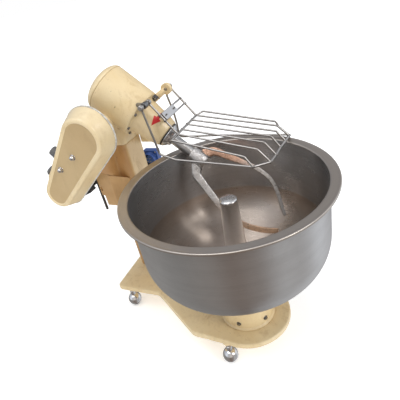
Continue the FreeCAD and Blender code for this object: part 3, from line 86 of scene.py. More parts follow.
# ------------------------------------------------------------------ materials
class Mat:
    def __init__(self, name):
        self.m = bpy.data.materials.new(name)
        self.m.use_nodes = True
        self.t = self.m.node_tree
        self.t.nodes.clear()
        self.out = self.t.nodes.new("ShaderNodeOutputMaterial")
        self.b = self.t.nodes.new("ShaderNodeBsdfPrincipled")
        self.t.links.new(self.b.outputs[0], self.out.inputs[0])
        self.co = None

    def new(self, kind, **kw):
        n = self.t.nodes.new(kind)
        for k, v in kw.items():
            setattr(n, k, v)
        return n

    def put(self, socket, value):
        if value is None:
            return
        if hasattr(value, "is_output"):
            self.t.links.new(value, socket)
        elif isinstance(value, (tuple, list)) and len(value) == 3 and socket.type == "RGBA":
            socket.default_value = (value[0], value[1], value[2], 1.0)
        else:
            socket.default_value = value

    def obj(self):
        if self.co is None:
            self.co = self.new("ShaderNodeTexCoord").outputs["Object"]
        return self.co

    def attr(self, name):
        return self.new("ShaderNodeAttribute", attribute_name=name).outputs["Vector"]

    def scaled(self, vec, scale=(1, 1, 1), loc=(0, 0, 0), rot=(0, 0, 0)):
        n = self.new("ShaderNodeMapping")
        self.put(n.inputs["Vector"], vec)
        n.inputs["Scale"].default_value = scale
        n.inputs["Location"].default_value = loc
        n.inputs["Rotation"].default_value = rot
        return n.outputs[0]

    def noise(self, vec, scale, detail=4.0, rough=0.55, dist=0.0):
        n = self.new("ShaderNodeTexNoise")
        self.put(n.inputs["Vector"], vec)
        n.inputs["Scale"].default_value = scale
        n.inputs["Detail"].default_value = detail
        n.inputs["Roughness"].default_value = rough
        n.inputs["Distortion"].default_value = dist
        return n.outputs[0]

    def voronoi(self, vec, scale, feature="F1", rand=1.0):
        n = self.new("ShaderNodeTexVoronoi", feature=feature)
        self.put(n.inputs["Vector"], vec)
        n.inputs["Scale"].default_value = scale
        n.inputs["Randomness"].default_value = rand
        return n.outputs[0]

    def ramp(self, fac, stops, interp="LINEAR"):
        n = self.new("ShaderNodeValToRGB")
        n.color_ramp.interpolation = interp
        e = n.color_ramp.elements
        while len(e) < len(stops):
            e.new(0.5)
        for k, (p, c) in enumerate(stops):
            e[k].position = p
            e[k].color = (c, c, c, 1) if isinstance(c, (int, float)) else (c[0], c[1], c[2], 1)
        self.put(n.inputs[0], fac)
        return n.outputs[0]

    def mix(self, fac, a, b, blend="MIX"):
        n = self.new("ShaderNodeMix", data_type="RGBA", blend_type=blend)
        self.put(n.inputs["Factor"], fac)
        ins = [s for s in n.inputs if s.type == "RGBA"]
        self.put(ins[0], a)
        self.put(ins[1], b)
        return [s for s in n.outputs if s.type == "RGBA"][0]

    def math(self, op, a, b=None, clamp=False):
        n = self.new("ShaderNodeMath", operation=op, use_clamp=clamp)
        self.put(n.inputs[0], a)
        if b is not None:
            self.put(n.inputs[1], b)
        return n.outputs[0]

    def span(self, fac, lo, hi):
        n = self.new("ShaderNodeMapRange")
        self.put(n.inputs["Value"], fac)
        n.inputs["To Min"].default_value = lo
        n.inputs["To Max"].default_value = hi
        return n.outputs[0]

    def bump(self, height, strength, distance, normal=None):
        n = self.new("ShaderNodeBump")
        n.inputs["Strength"].default_value = strength
        n.inputs["Distance"].default_value = distance
        self.put(n.inputs["Height"], height)
        if normal is not None:
            self.put(n.inputs["Normal"], normal)
        return n.outputs[0]

    def edge(self, lo=0.5, hi=0.56):
        g = self.new("ShaderNodeNewGeometry").outputs["Pointiness"]
        return self.ramp(g, [(lo, 0.0), (hi, 1.0)])

    def set(self, **kw):
        for k, v in kw.items():
            self.put(self.b.inputs[k.replace("_", " ")], v)
        return self.m


def paint(name, light, mid, dark, rough=(0.30, 0.48), cast=0.0, dirt=0.35, chips=0.0, seed=0.0, coat=0.25, side=None):
    """Aged machine enamel: two tones, grime, small chips and an orange-peel skin; side darkens the faces below an
    object Y height as painted shade.
    """
    m = Mat(name)
    o = m.scaled(m.obj(), loc=(seed, seed * 0.7, -seed * 1.3))
    big = m.noise(o, 5.5, 5.0, 0.6, 0.3)
    c = m.ramp(big, [(0.34, mid), (0.62, light)])
    grime = m.noise(m.scaled(o, (1.0, 1.0, 0.35)), 26.0, 8.0, 0.68, 0.6)
    gm = m.ramp(grime, [(0.52, 0.0), (0.74, 1.0)])
    c = m.mix(m.math("MULTIPLY", gm, dirt), c, dark)
    fine = m.noise(o, 240.0, 3.0, 0.6)
    c = m.mix(m.ramp(fine, [(0.60, 0.0), (0.78, 0.35)]), c, dark)
    if chips:
        ch = m.noise(o, 62.0, 6.0, 0.72, 0.4)
        mask = m.ramp(ch, [(0.705 - 0.04 * chips, 0.0), (0.72 - 0.04 * chips, 1.0)])
        edge = m.edge(0.53, 0.60)
        near = m.ramp(m.noise(o, 38.0, 6.0, 0.7), [(0.47, 0.0), (0.56, 1.0)])
        mask = m.math("MAXIMUM", mask, m.math("MULTIPLY", edge, near), True)
        c = m.mix(m.math("MULTIPLY", mask, 0.8), c, (0.16, 0.105, 0.06))
    # side: faces with object Y below side[0] to side[1] are multiplied by side[2], painted shade on the face turned
    # towards -Y
    if side:
        sep_ = m.new("ShaderNodeSeparateXYZ")
        m.put(sep_.inputs[0], m.obj())
        wob = m.math("ADD", sep_.outputs[1], m.math("MULTIPLY", m.noise(o, 12.0, 4.0), 0.010))
        c = m.mix(m.ramp(wob, [(side[0], 1.0), (side[1], 0.0)]), c, m.mix(1.0, c, side[2], "MULTIPLY"))
    peel = m.noise(o, 420.0, 2.0, 0.5)
    h = peel
    nrm = m.bump(h, 0.10, 0.0006)
    if cast:
        lump = m.noise(o, 34.0, 5.0, 0.55)
        nrm = m.bump(lump, 0.35 * cast, 0.004, nrm)
    r = m.span(m.math("ADD", m.math("MULTIPLY", gm, 0.5), m.math("MULTIPLY", m.noise(o, 14.0, 4.0), 0.5)), rough[0], rough[1])
    m.b.inputs["Coat Weight"].default_value = coat
    m.b.inputs["Coat Roughness"].default_value = 0.18
    m.set(Base_Color=c, Roughness=r, Normal=nrm)
    return m.m


CREAM_L, CREAM_M, CREAM_D = (0.800, 0.645, 0.395), (0.740, 0.560, 0.305), (0.40, 0.235, 0.085)


def steel(name, tone, tint=(1.0, 0.985, 0.965), rough=(0.22, 0.36), brushed=None, aniso=0.0, stain=0.4, pit=0.0, seed=0.0, painted_reflection_zone=None, band=0.0, metal=1.0):
    """Bare steel; brushed names a vertex vector that runs along the grain. A warm tint by object height paints a
    reflection on part of the metal.
    """
    m = Mat(name)
    o = m.scaled(m.obj(), loc=(seed, -seed, seed * 0.5))
    base = tuple(tone * k for k in tint)
    low = tuple(tone * k * 0.72 for k in (1.0, 0.93, 0.87))
    cloud = m.noise(o, 7.0, 6.0, 0.62, 0.5)
    c = m.mix(m.ramp(cloud, [(0.40, 0.0), (0.75, stain)]), base, low)
    spots = m.ramp(m.noise(o, 95.0, 5.0, 0.7), [(0.58, 0.0), (0.72, 0.5 * stain)])
    c = m.mix(spots, c, tuple(tone * k * 0.55 for k in (1.0, 0.88, 0.78)))
    r = m.span(cloud, rough[0], rough[1])
    nrm = None
    if brushed:
        v = m.attr(brushed)
        s1 = m.noise(v, 1.0, 4.0, 0.7)
        s2 = m.noise(m.scaled(v, (0.6, 0.6, 3.1), (3, 5, 7)), 1.0, 3.0, 0.6)
        streak = m.math("ADD", m.math("MULTIPLY", s1, 0.6), m.math("MULTIPLY", s2, 0.4))
        c = m.mix(m.ramp(streak, [(0.38, 0.0), (0.66, 0.42)]), c, tuple(tone * k * 0.80 for k in tint))
        r = m.math("ADD", r, m.span(streak, -0.06, 0.08))
        nrm = m.bump(streak, 0.10, 0.0004)
    else:
        g = m.noise(o, 520.0, 3.0, 0.6)
        r = m.math("ADD", r, m.span(g, -0.03, 0.05))
        nrm = m.bump(g, 0.06, 0.0004)
    if pit:
        p = m.noise(o, 88.0, 6.0, 0.66, 0.8)
        nrm = m.bump(p, 0.5 * pit, 0.003, nrm)
        c = m.mix(m.ramp(p, [(0.32, 0.55 * pit), (0.50, 0.0)]), c, tuple(tone * k * 0.42 for k in (1.0, 0.9, 0.82)))
        r = m.math("ADD", r, m.span(p, 0.10 * pit, -0.04))
    # zone: tints the metal above or below an object Z height with a warm colour, a painted reflection of the cream
    # machine
    if painted_reflection_zone:
        sep_ = m.new("ShaderNodeSeparateXYZ")
        m.put(sep_.inputs[0], m.obj())
        wob = m.math("ADD", sep_.outputs[2], m.math("MULTIPLY", m.noise(o, 9.0, 4.0), 0.012 if painted_reflection_zone[3:] else 0.0))
        up = 1.0 if painted_reflection_zone[4:] else 0.0
        c = m.mix(m.ramp(wob, [(painted_reflection_zone[0], 1.0 - up), (painted_reflection_zone[1], up)]), c, m.mix(1.0, c, painted_reflection_zone[2], "MULTIPLY"))
    if band:
        bz = m.noise(m.scaled(m.obj(), (0.6, 0.6, 46.0)), 1.0, 5.0, 0.6)
        c = m.mix(m.ramp(bz, [(0.40, band), (0.60, 0.0)]), c, m.mix(1.0, c, (0.55, 0.54, 0.54), "MULTIPLY"))
        r = m.math("ADD", r, m.span(bz, -0.07 * band, 0.07 * band))
    m.b.inputs["Metallic"].default_value = metal
    if aniso:
        m.b.inputs["Anisotropic"].default_value = aniso
        m.b.inputs["Anisotropic Rotation"].default_value = 0.25
        t = m.new("ShaderNodeTangent", direction_type="RADIAL", axis="Z")
        m.put(m.b.inputs["Tangent"], t.outputs[0])
    m.set(Base_Color=c, Roughness=r, Normal=nrm)
    return m.m


def plastic(name, colour, dark, rough=(0.35, 0.55), bump=0.08, coat=0.0, seed=0.0, wear=0.3):
    m = Mat(name)
    o = m.scaled(m.obj(), loc=(seed, seed, seed))
    c = m.mix(m.ramp(m.noise(o, 30.0, 6.0, 0.65), [(0.42, 0.0), (0.72, wear)]), colour, dark)
    g = m.noise(o, 700.0, 2.0, 0.5)
    c = m.mix(m.ramp(m.noise(o, 160.0, 4.0, 0.7), [(0.63, 0.0), (0.72, 0.25)]), c, tuple(min(1.0, k * 1.6 + 0.03) for k in colour))
    m.b.inputs["Coat Weight"].default_value = coat
    m.set(Base_Color=c, Roughness=m.span(m.noise(o, 45.0, 4.0), rough[0], rough[1]), Normal=m.bump(g, bump, 0.0004))
    return m.m


M = {
    "cream": paint("cream_enamel", CREAM_L, CREAM_M, CREAM_D, chips=0.35, seed=1.0),
    "cream_cast": paint("cream_casting", CREAM_L, CREAM_M, CREAM_D, rough=(0.34, 0.52), cast=0.8, dirt=0.45, chips=0.6, seed=4.0),
    "cream_cover": paint("cream_cover", (0.82, 0.670, 0.425), (0.76, 0.585, 0.330), CREAM_D, rough=(0.26, 0.40), dirt=0.22, chips=0.15, seed=9.0, coat=0.35),
    # cream_panel_painted_shade: a darker copy of the cover's cream enamel, painted shade on the belt cover's front face
    # turned away from the light
    "cream_panel_painted_shade": paint("cream_panel_painted_shade", (0.545, 0.395, 0.205), (0.505, 0.355, 0.175), (0.34, 0.22, 0.10), rough=(0.36, 0.5), dirt=0.25, seed=15.0),
    "white": paint("plate_enamel", (0.78, 0.77, 0.73), (0.70, 0.68, 0.63), (0.36, 0.31, 0.24), dirt=0.35, chips=0.3, seed=21.0),
    "motor": paint("motor_enamel", (0.040, 0.044, 0.050), (0.026, 0.028, 0.033), (0.09, 0.075, 0.055), rough=(0.38, 0.6), dirt=0.5, seed=31.0, coat=0.1),
    "dark": paint("dark_plate", (0.055, 0.05, 0.046), (0.035, 0.031, 0.03), (0.12, 0.08, 0.045), rough=(0.40, 0.62), dirt=0.6, seed=37.0, coat=0.0),
    "bowl_out": steel("bowl_outside", 0.60, (1.0, 0.985, 0.97), (0.28, 0.38), "grain", 0.75, 0.4, seed=2.0, band=0.10),
    # bowl inside: the faint blue tint of the wall and the warm tint of the floor below the crease are painted
    # reflection; the colour step at the crease stands for the seam between wall and bottom
    "bowl_in": steel("bowl_inside", 0.50, (0.985, 0.985, 0.995), (0.22, 0.34), "grain", 0.70, 0.75, seed=5.0, painted_reflection_zone=(0.4900, 0.4975, (0.88, 0.76, 0.66)), band=0.10, metal=0.90),
    "rim": steel("bowl_rim", 0.54, (1.0, 0.90, 0.80), (0.30, 0.42), "grain", 0.0, 0.35, seed=8.0),
    "cone": steel("cone_steel", 0.70, (1.0, 0.945, 0.895), (0.26, 0.38), "grain", 0.35, 0.6, seed=11.0),
    "machined": steel("machined_steel", 0.50, (1.0, 0.98, 0.96), (0.28, 0.42), None, 0.0, 0.4, seed=14.0),
    "chrome": steel("polished_steel", 0.72, (1.0, 0.99, 0.985), (0.06, 0.14), None, 0.0, 0.25, seed=17.0),
    "collar": steel("collar_steel", 0.78, (0.98, 0.99, 1.0), (0.16, 0.28), "grain", 0.3, 0.4, seed=18.0),
    # prongs: the copper tint near the hub of the far prong and towards the tip of the near prong is painted reflection
    # of the cream machine
    "forged_far": steel("forged_far", 0.68, (1.0, 0.95, 0.90), (0.22, 0.40), None, 0.0, 0.75, pit=1.45, seed=61.0, painted_reflection_zone=(0.615, 0.665, (1.0, 0.66, 0.50), 1, 1)),
    "forged_near": steel("forged_near", 0.78, (1.0, 0.975, 0.955), (0.22, 0.40), None, 0.0, 0.75, pit=1.45, seed=62.0, painted_reflection_zone=(0.43, 0.56, (1.0, 0.70, 0.48), 1)),
    "blue_pale": plastic("blue_plastic_pale", (0.10, 0.20, 0.55), (0.05, 0.09, 0.28), (0.26, 0.42), 0.08, seed=63.0),
    "forged": steel("forged_steel", 0.72, (1.0, 0.965, 0.94), (0.24, 0.40), None, 0.0, 0.8, pit=1.6, seed=20.0),
    "wire": steel("wire_steel", 0.44, (1.0, 0.95, 0.90), (0.26, 0.42), None, 0.0, 0.8, pit=0.25, seed=23.0),
    "wire_dark": steel("weld_scale", 0.16, (1.0, 0.88, 0.78), (0.40, 0.6), None, 0.0, 0.8, pit=0.9, seed=26.0),
    "bronze": steel("bronze", 0.60, (1.0, 0.74, 0.42), (0.26, 0.4), None, 0.0, 0.4, seed=29.0),
    "iron": steel("pulley_iron", 0.17, (1.0, 0.97, 0.94), (0.36, 0.55), None, 0.0, 0.6, pit=0.4, seed=32.0),
    "cap": steel("cap_steel", 0.66, (1.0, 0.975, 0.945), (0.20, 0.32), "grain", 0.3, 0.35, seed=41.0),
    "weld": steel("weld_bead", 0.30, (1.0, 0.95, 0.90), (0.34, 0.5), None, 0.0, 0.7, pit=0.6, seed=42.0),
    "wire_weld": steel("wire_weld", 0.26, (1.0, 0.93, 0.86), (0.30, 0.5), None, 0.0, 0.7, pit=0.5, seed=43.0),
    "screw": steel("screw_steel", 0.26, (1.0, 0.97, 0.93), (0.26, 0.42), None, 0.0, 0.6, pit=0.3, seed=44.0),
    "dark_ring": steel("dark_ring", 0.10, (1.0, 0.93, 0.88), (0.34, 0.5), "grain", 0.0, 0.5, seed=45.0),
    "arm_steel": steel("arm_steel", 0.24, (0.98, 0.985, 1.0), (0.28, 0.42), None, 0.0, 0.5, pit=0.4, seed=46.0),
    "shaft": steel("shaft_steel", 0.52, (1.0, 0.98, 0.96), (0.22, 0.38), "grain", 0.0, 0.8, pit=0.9, seed=47.0),
    "clamp": steel("clamp_steel", 0.62, (1.0, 0.98, 0.965), (0.28, 0.4), None, 0.0, 0.5, pit=0.2, seed=48.0),
    # forged_painted_reflection: a copper-tinted copy of the forged steel, painted reflection of the cream machine
    "forged_painted_reflection": steel("forged_painted_reflection", 0.66, (1.0, 0.86, 0.76), (0.26, 0.42), None, 0.0, 0.6, pit=1.0, seed=49.0),
    # column enamel: its near (-Y) face is darkened by side, painted shade under the head and belt cover
    "cream_col": paint("cream_column_painted_shade", (0.84, 0.66, 0.395), (0.78, 0.57, 0.300), CREAM_D, rough=(0.30, 0.46), cast=0.5, dirt=0.6, chips=0.5, seed=51.0, side=(0.120, 0.132, (0.60, 0.44, 0.30))),
    # cream_bracket_painted_shade: a darker, more orange copy of the cream casting enamel, painted shade for the bracket
    # behind and under the belt cover
    "cream_bracket_painted_shade": paint("cream_bracket_painted_shade", (0.60, 0.375, 0.170), (0.50, 0.285, 0.110), CREAM_D, rough=(0.30, 0.46), dirt=0.5, seed=53.0),
    "switch_grey": plastic("switch_grey", (0.045, 0.045, 0.048), (0.12, 0.105, 0.09), (0.35, 0.55), 0.12, seed=54.0, wear=0.6),
    "grey_mark": plastic("knob_mark", (0.60, 0.58, 0.54), (0.35, 0.33, 0.30), (0.4, 0.5), 0.05, seed=52.0),
    "rubber": plastic("rubber", (0.022, 0.022, 0.023), (0.05, 0.045, 0.04), (0.6, 0.8), 0.25, seed=3.0),
    "black": plastic("black_plastic", (0.028, 0.028, 0.030), (0.07, 0.06, 0.05), (0.38, 0.6), 0.12, seed=6.0),
    "grey": plastic("grey_plastic", (0.115, 0.118, 0.125), (0.24, 0.225, 0.205), (0.35, 0.55), 0.12, seed=7.0, wear=0.55),
    "blue": plastic("blue_plastic", (0.028, 0.085, 0.33), (0.02, 0.045, 0.15), (0.26, 0.42), 0.08, coat=0.3, seed=12.0),
    # blue_painted_shade: a dark copy of the inlet's blue plastic, painted shade for the inside of the shroud
    "blue_painted_shade": plastic("blue_plastic_painted_shade", (0.010, 0.028, 0.12), (0.01, 0.015, 0.05), (0.35, 0.5), 0.08, seed=13.0),
    "red": plastic("red_ink", (0.66, 0.018, 0.020), (0.42, 0.03, 0.02), (0.34, 0.5), 0.05, seed=16.0, wear=0.5),
}


# ------------------------------------------------------------------ mesh tools
def piece(name, bm, body, mats, *replaces, slot=None, bevel=0.0, angle=30.0, segs=2, subsurf=0):
    """Turns a bmesh in the row frame into a piece riding on a body."""
    bmesh.ops.recalc_face_normals(bm, faces=bm.faces)
    me = bpy.data.meshes.new(name)
    bm.to_mesh(me)
    bm.free()
    for k in (mats if isinstance(mats, (list, tuple)) else [mats]):
        me.materials.append(M[k])
    for p in me.polygons:
        p.use_smooth = True
    me.set_sharp_from_angle(angle=math.radians(angle))
    o = bpy.data.objects.new(name, me)
    bpy.context.scene.collection.objects.link(o)
    if bevel:
        b = o.modifiers.new("edges", "BEVEL")
        b.width = bevel / 1000.0
        b.segments = segs
        b.limit_method = "ANGLE"
        b.angle_limit = math.radians(28)
        b.harden_normals = True
        b.miter_outer = "MITER_ARC"
    if subsurf:
        s = o.modifiers.new("round", "SUBSURF")
        s.levels = s.render_levels = subsurf
    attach(o, body)
    if replaces:
        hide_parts(*replaces)
    return o


def grain_layer(bm):
    lay = bm.verts.layers.float_vector.get("grain")
    return lay or bm.verts.layers.float_vector.new("grain")


def loop_points(path):
    """(r, z[, fillet]) corners to a smooth polyline."""
    pts = []
    n = len(path)
    for i, p in enumerate(path):
        f = p[2] if len(p) > 2 else 0.0
        if f <= 0 or i in (0, n - 1):
            pts.append((p[0], p[1]))
            continue
        a = Vector((path[i - 1][0] - p[0], path[i - 1][1] - p[1]))
        c = Vector((path[i + 1][0] - p[0], path[i + 1][1] - p[1]))
        ang = a.angle(c)
        t = f / math.tan(ang / 2)
        t = min(t, 0.49 * a.length, 0.49 * c.length) if f < 30 else t
        f = t * math.tan(ang / 2)
        a.normalize()
        c.normalize()
        mdir = (a + c).normalized()
        centre = Vector((p[0], p[1])) + mdir * (f / math.sin(ang / 2))
        s = Vector((p[0], p[1])) + a * t - centre
        e = Vector((p[0], p[1])) + c * t - centre
        turn = math.atan2(s.x * e.y - s.y * e.x, s.dot(e))
        steps = max(2, int(abs(turn) / math.radians(3.0 if f > 50 else 9.0)) + 1)
        for k in range(steps + 1):
            an = turn * k / steps
            pts.append((centre.x + s.x * math.cos(an) - s.y * math.sin(an), centre.y + s.x * math.sin(an) + s.y * math.cos(an)))
    return pts


def lathe_bm(path, place, segs=96, bm=None, mat=0, closed=True, fine=(6.0, 420.0), split=None):
    """Turned shape about local Z. split gives the material index of a stretch of the profile."""
    bm = bm or bmesh.new()
    lay = grain_layer(bm)
    pts = loop_points(path)
    run, dist = [0.0], 0.0
    for a, b in zip(pts[:-1], pts[1:]):
        dist += math.hypot(b[0] - a[0], b[1] - a[1])
        run.append(dist)
    rings = []
    for (r, z), s in zip(pts, run):
        if r < 1e-6:
            v = bm.verts.new(place @ Vector((0, 0, z)))
            v[lay] = (0, 0, s / 1000 * fine[1])
            rings.append([v])
            continue
        ring = []
        for k in range(segs):
            a = 2 * math.pi * k / segs
            v = bm.verts.new(place @ Vector((r * math.cos(a), r * math.sin(a), z)))
            v[lay] = (math.cos(a) * fine[0], math.sin(a) * fine[0], s / 1000 * fine[1])
            ring.append(v)
        rings.append(ring)
    pairs = list(zip(rings[:-1], rings[1:], range(len(rings))))
    if closed and len(rings[0]) > 1 and len(rings[-1]) > 1:
        pairs.append((rings[-1], rings[0], len(rings) - 1))
    for a, b, i in pairs:
        idx = mat
        if split:
            idx = split(i, pts)
        if len(a) == 1 and len(b) == 1:
            continue
        for k in range(segs):
            n = (k + 1) % segs
            if len(a) == 1:
                f = bm.faces.new((a[0], b[k], b[n]))
            elif len(b) == 1:
                f = bm.faces.new((a[k], b[0], a[n]))
            else:
                f = bm.faces.new((a[k], b[k], b[n], a[n]))
            f.material_index = idx
    return bm


def prism_bm(outline, z0, z1, place, bm=None, mat=0):
    bm = bm or bmesh.new()
    grain_layer(bm)
    lo = [bm.verts.new(place @ Vector((x, y, z0))) for x, y in outline]
    hi = [bm.verts.new(place @ Vector((x, y, z1))) for x, y in outline]
    n = len(outline)
    faces = [bm.faces.new(lo[::-1]), bm.faces.new(hi)]
    for k in range(n):
        faces.append(bm.faces.new((lo[k], lo[(k + 1) % n], hi[(k + 1) % n], hi[k])))
    for f in faces:
        f.material_index = mat
    return bm


def hex_outline(af):
    r = af / math.sqrt(3)
    return [(r * math.cos(math.radians(60 * k)), r * math.sin(math.radians(60 * k))) for k in range(6)]


def hex_bm(af, z0, z1, place, bm=None, mat=0, crown=1.2, bore=0.0):
    """Hexagon with its corners turned off at the top, local Z outwards."""
    bm = bm or bmesh.new()
    grain_layer(bm)
    segs = 48
    rc = af / math.sqrt(3)

    def edge(k, lim):
        a = 2 * math.pi * k / segs
        t = (a % math.radians(60)) - math.radians(30)
        return min(af / 2 / math.cos(t), lim), a

    rings = []
    spec = [(rc, z0 + 0.35 * crown, 0), (rc, z1 - crown, 0), (af / 2 * 0.985, z1, 1)]
    spec = [(af / 2 * 0.99, z0, 1)] + spec
    for lim, z, _ in spec:
        ring = []
        for k in range(segs):
            r, a = edge(k, lim)
            ring.append(bm.verts.new(place @ Vector((r * math.cos(a), r * math.sin(a), z))))
        rings.append(ring)
    for a, b in zip(rings[:-1], rings[1:]):
        for k in range(segs):
            n = (k + 1) % segs
            bm.faces.new((a[k], a[n], b[n], b[k])).material_index = mat
    bm.faces.new(rings[-1]).material_index = mat
    bm.faces.new(rings[0][::-1]).material_index = mat
    return bm


def corner_points(points, bend):
    """Polyline in machine millimetres with arcs of the bend radius at its corners."""
    p = [Vector(k) for k in points]
    out = [p[0]]
    for i in range(1, len(p) - 1):
        a, c = p[i - 1] - p[i], p[i + 1] - p[i]
        la, lc = a.length, c.length
        a.normalize()
        c.normalize()
        half = a.angle(c) / 2
        t = min(bend / math.tan(half), 0.42 * la, 0.42 * lc)
        rad = t * math.tan(half)
        m = (a + c).normalized()
        centre = p[i] + m * (rad / math.sin(half))
        s, e = p[i] + a * t - centre, p[i] + c * t - centre
        ang = s.angle(e) if s.length > 1e-6 else 0
        steps = max(2, int(math.degrees(ang) / 8) + 1)
        for k in range(steps + 1):
            w = k / steps
            so = math.sin(ang)
            v = s * (math.sin((1 - w) * ang) / so) + e * (math.sin(w * ang) / so) if so > 1e-6 else s.lerp(e, w)
            out.append(centre + v)
    out.append(p[-1])
    return out


def sweep_bm(points, section, bm=None, mat=0, place=None, caps=True, dense=0.0, up=None):
    """Sweeps section(i, t) -> outline [(x, y)] along points (machine mm or a local frame's mm)."""
    bm = bm or bmesh.new()
    lay = grain_layer(bm)
    pts = [Vector(p) for p in points]
    if dense:
        fine = [pts[0]]
        for a, b in zip(pts[:-1], pts[1:]):
            n = max(1, int((b - a).length / dense))
            for k in range(1, n + 1):
                fine.append(a.lerp(b, k / n))
        pts = fine
    n = len(pts)
    tangents = []
    for i in range(n):
        a, b = pts[max(0, i - 1)], pts[min(n - 1, i + 1)]
        tangents.append((b - a).normalized())
    ref = Vector(up) if up else (Vector((0, 0, 1)) if abs(tangents[0].z) < 0.9 else Vector((0, 1, 0)))
    x = (ref - tangents[0] * ref.dot(tangents[0])).normalized()
    rings, total, dist = [], 0.0, 0.0
    for a, b in zip(pts[:-1], pts[1:]):
        total += (b - a).length
    for i in range(n):
        t = tangents[i]
        x = (x - t * x.dot(t)).normalized()
        y = t.cross(x)
        if i:
            dist += (pts[i] - pts[i - 1]).length
        ring = []
        for sx, sy in section(i, dist / total if total else 0):
            q_ = pts[i] + x * sx + y * sy
            v = bm.verts.new(place @ q_ if place is not None else W(*q_))
            v[lay] = (sx * 0.5, sy * 0.5, dist * 0.02)
            ring.append(v)
        rings.append(ring)
    m = len(rings[0])
    for a, b in zip(rings[:-1], rings[1:]):
        for k in range(m):
            bm.faces.new((a[k], a[(k + 1) % m], b[(k + 1) % m], b[k])).material_index = mat
    if caps:
        bm.faces.new(rings[0][::-1]).material_index = mat
        bm.faces.new(rings[-1]).material_index = mat
    return bm


def circle(r, n=14):
    return [(r * math.cos(2 * math.pi * k / n), r * math.sin(2 * math.pi * k / n)) for k in range(n)]


def round_rect(a, h, rr, n=5):
    pts = []
    for sx, sy, a0 in ((1, 1, 0), (-1, 1, 90), (-1, -1, 180), (1, -1, 270)):
        for k in range(n):
            an = math.radians(a0 + 90.0 * k / (n - 1))
            pts.append((sx * (a - rr) + rr * math.cos(an), sy * (h - rr) + rr * math.sin(an)))
    return pts


def wire_bm(points, r, bm=None, mat=0, bend=14.0):
    pts = corner_points(points, bend) if len(points) > 2 else [Vector(p) for p in points]
    c = circle(r, 16)
    return sweep_bm(pts, lambda i, t: c, bm, mat, dense=0)


def ball_bm(centre, r, bm=None, mat=0, squash=(1, 1, 1), rough=0.0, sub=3):
    bm = bm or bmesh.new()
    lay = grain_layer(bm)
    made = bmesh.ops.create_icosphere(bm, subdivisions=sub, radius=1.0)
    for v in made["verts"]:
        k = 1.0 + rough * noise.noise(v.co * 2.3 + Vector(centre) * 0.1)
        p = Vector((v.co.x * squash[0], v.co.y * squash[1], v.co.z * squash[2])) * r * k
        v.co = W(*(Vector(centre) + p))
    for f in {f for v in made["verts"] for f in v.link_faces}:
        f.material_index = mat
    return bm


def join_bm(target, other):
    me = bpy.data.meshes.new("tmp_join")
    other.to_mesh(me)
    other.free()
    target.from_mesh(me)
    bpy.data.meshes.remove(me)
    return target


def cast_piece(name, node, body, mat, voxel=2.2, smooth=6, seed=0.0, lump=0.25, extra=None):
    """A casting: the node's own shape remeshed, its edges softened and its skin made uneven."""
    src = NODES[node]
    me = src.data.copy()
    o = bpy.data.objects.new(name + "_tmp", me)
    bpy.context.scene.collection.objects.link(o)
    r = o.modifiers.new("vox", "REMESH")
    r.mode = "VOXEL"
    r.voxel_size = voxel / 1000.0
    s = o.modifiers.new("soft", "SMOOTH")
    s.factor = 0.5
    s.iterations = smooth
    dg = bpy.context.evaluated_depsgraph_get()
    made = bpy.data.meshes.new_from_object(o.evaluated_get(dg))
    bpy.data.objects.remove(o)
    made.materials.clear()
    made.materials.append(M[mat])
    nrm = [v.normal.copy() for v in made.vertices]
    if lump:
        for v, k in zip(made.vertices, nrm):
            v.co += k * (lump / 1000.0) * noise.noise(v.co * 28.0 + Vector((seed, 0, 0)))
    for p in made.polygons:
        p.use_smooth = True
    made.name = name
    piece_o = bpy.data.objects.new(name, made)
    bpy.context.scene.collection.objects.link(piece_o)
    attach(piece_o, body)
    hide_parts(node)
    return piece_o


def dress(node, mat, bevel=0.6, angle=30.0):
    """A CAD node that keeps its shape: material and smooth shading, with sharp edges past the angle."""
    o = NODES[node]
    o.data.materials.clear()
    o.data.materials.append(M[mat])
    for p in o.data.polygons:
        p.use_smooth = True
        p.material_index = 0
    o.data.set_sharp_from_angle(angle=math.radians(angle))
    return o


def axis_at(x, y, z, axis):
    """Local frame at a machine point whose Z runs along the axis."""
    return aimed((x, y, z), axis)


# ------------------------------------------------------------------ bowl
path = [(0, 304), (171, 304, 159.4), (311, 443.9, 150), (311, 691, 2.5), (315, 694.2, 2), (333, 693.6, 1.5), (335.5, 691.4, 1.5),
        (340, 692.2, 2.8), (340, 700, 3.2), (334, 699.6, 1.5), (331, 698.9, 2), (312, 698.4, 3), (308, 696.5, 2.5), (308, 445.14, 147),
        (169.76, 307, 156.4), (0, 307)]
pts = loop_points(path)
rim_a = next(i for i, p in enumerate(pts) if p[1] > 690.4)
rim_b = max(i for i, p in enumerate(pts) if p[1] > 695.9)


def bowl_split(i, _):
    return 2 if rim_a <= i < rim_b else (0 if i < rim_a else 1)


bm = lathe_bm(path, BOWL, 192, closed=False, fine=(5.0, 420.0), split=bowl_split)
piece("bowl_visual", bm, "bowl", ["bowl_out", "bowl_in", "rim"], "bowl_shell", angle=40)

path = [(0, 307.2), (47, 307.2), (45.5, 309.6, 2), (42.3, 313, 3), (28.2, 627.6, 0.8), (29.4, 629.4, 0.6), (29.2, 632.6, 2.0), (25.5, 636.2, 6),
        (13, 638.6, 12), (0, 639)]
pts = loop_points(path)
cap_a = next(i for i, p in enumerate(pts) if p[1] > 628.3)
bm = lathe_bm(path, BOWL, 96, closed=False, fine=(3.0, 380.0), split=lambda i, p: 1 if i >= cap_a else 0)
piece("cone_visual", bm, "bowl", ["cone", "cap"], "bowl_centre_cone", angle=35)

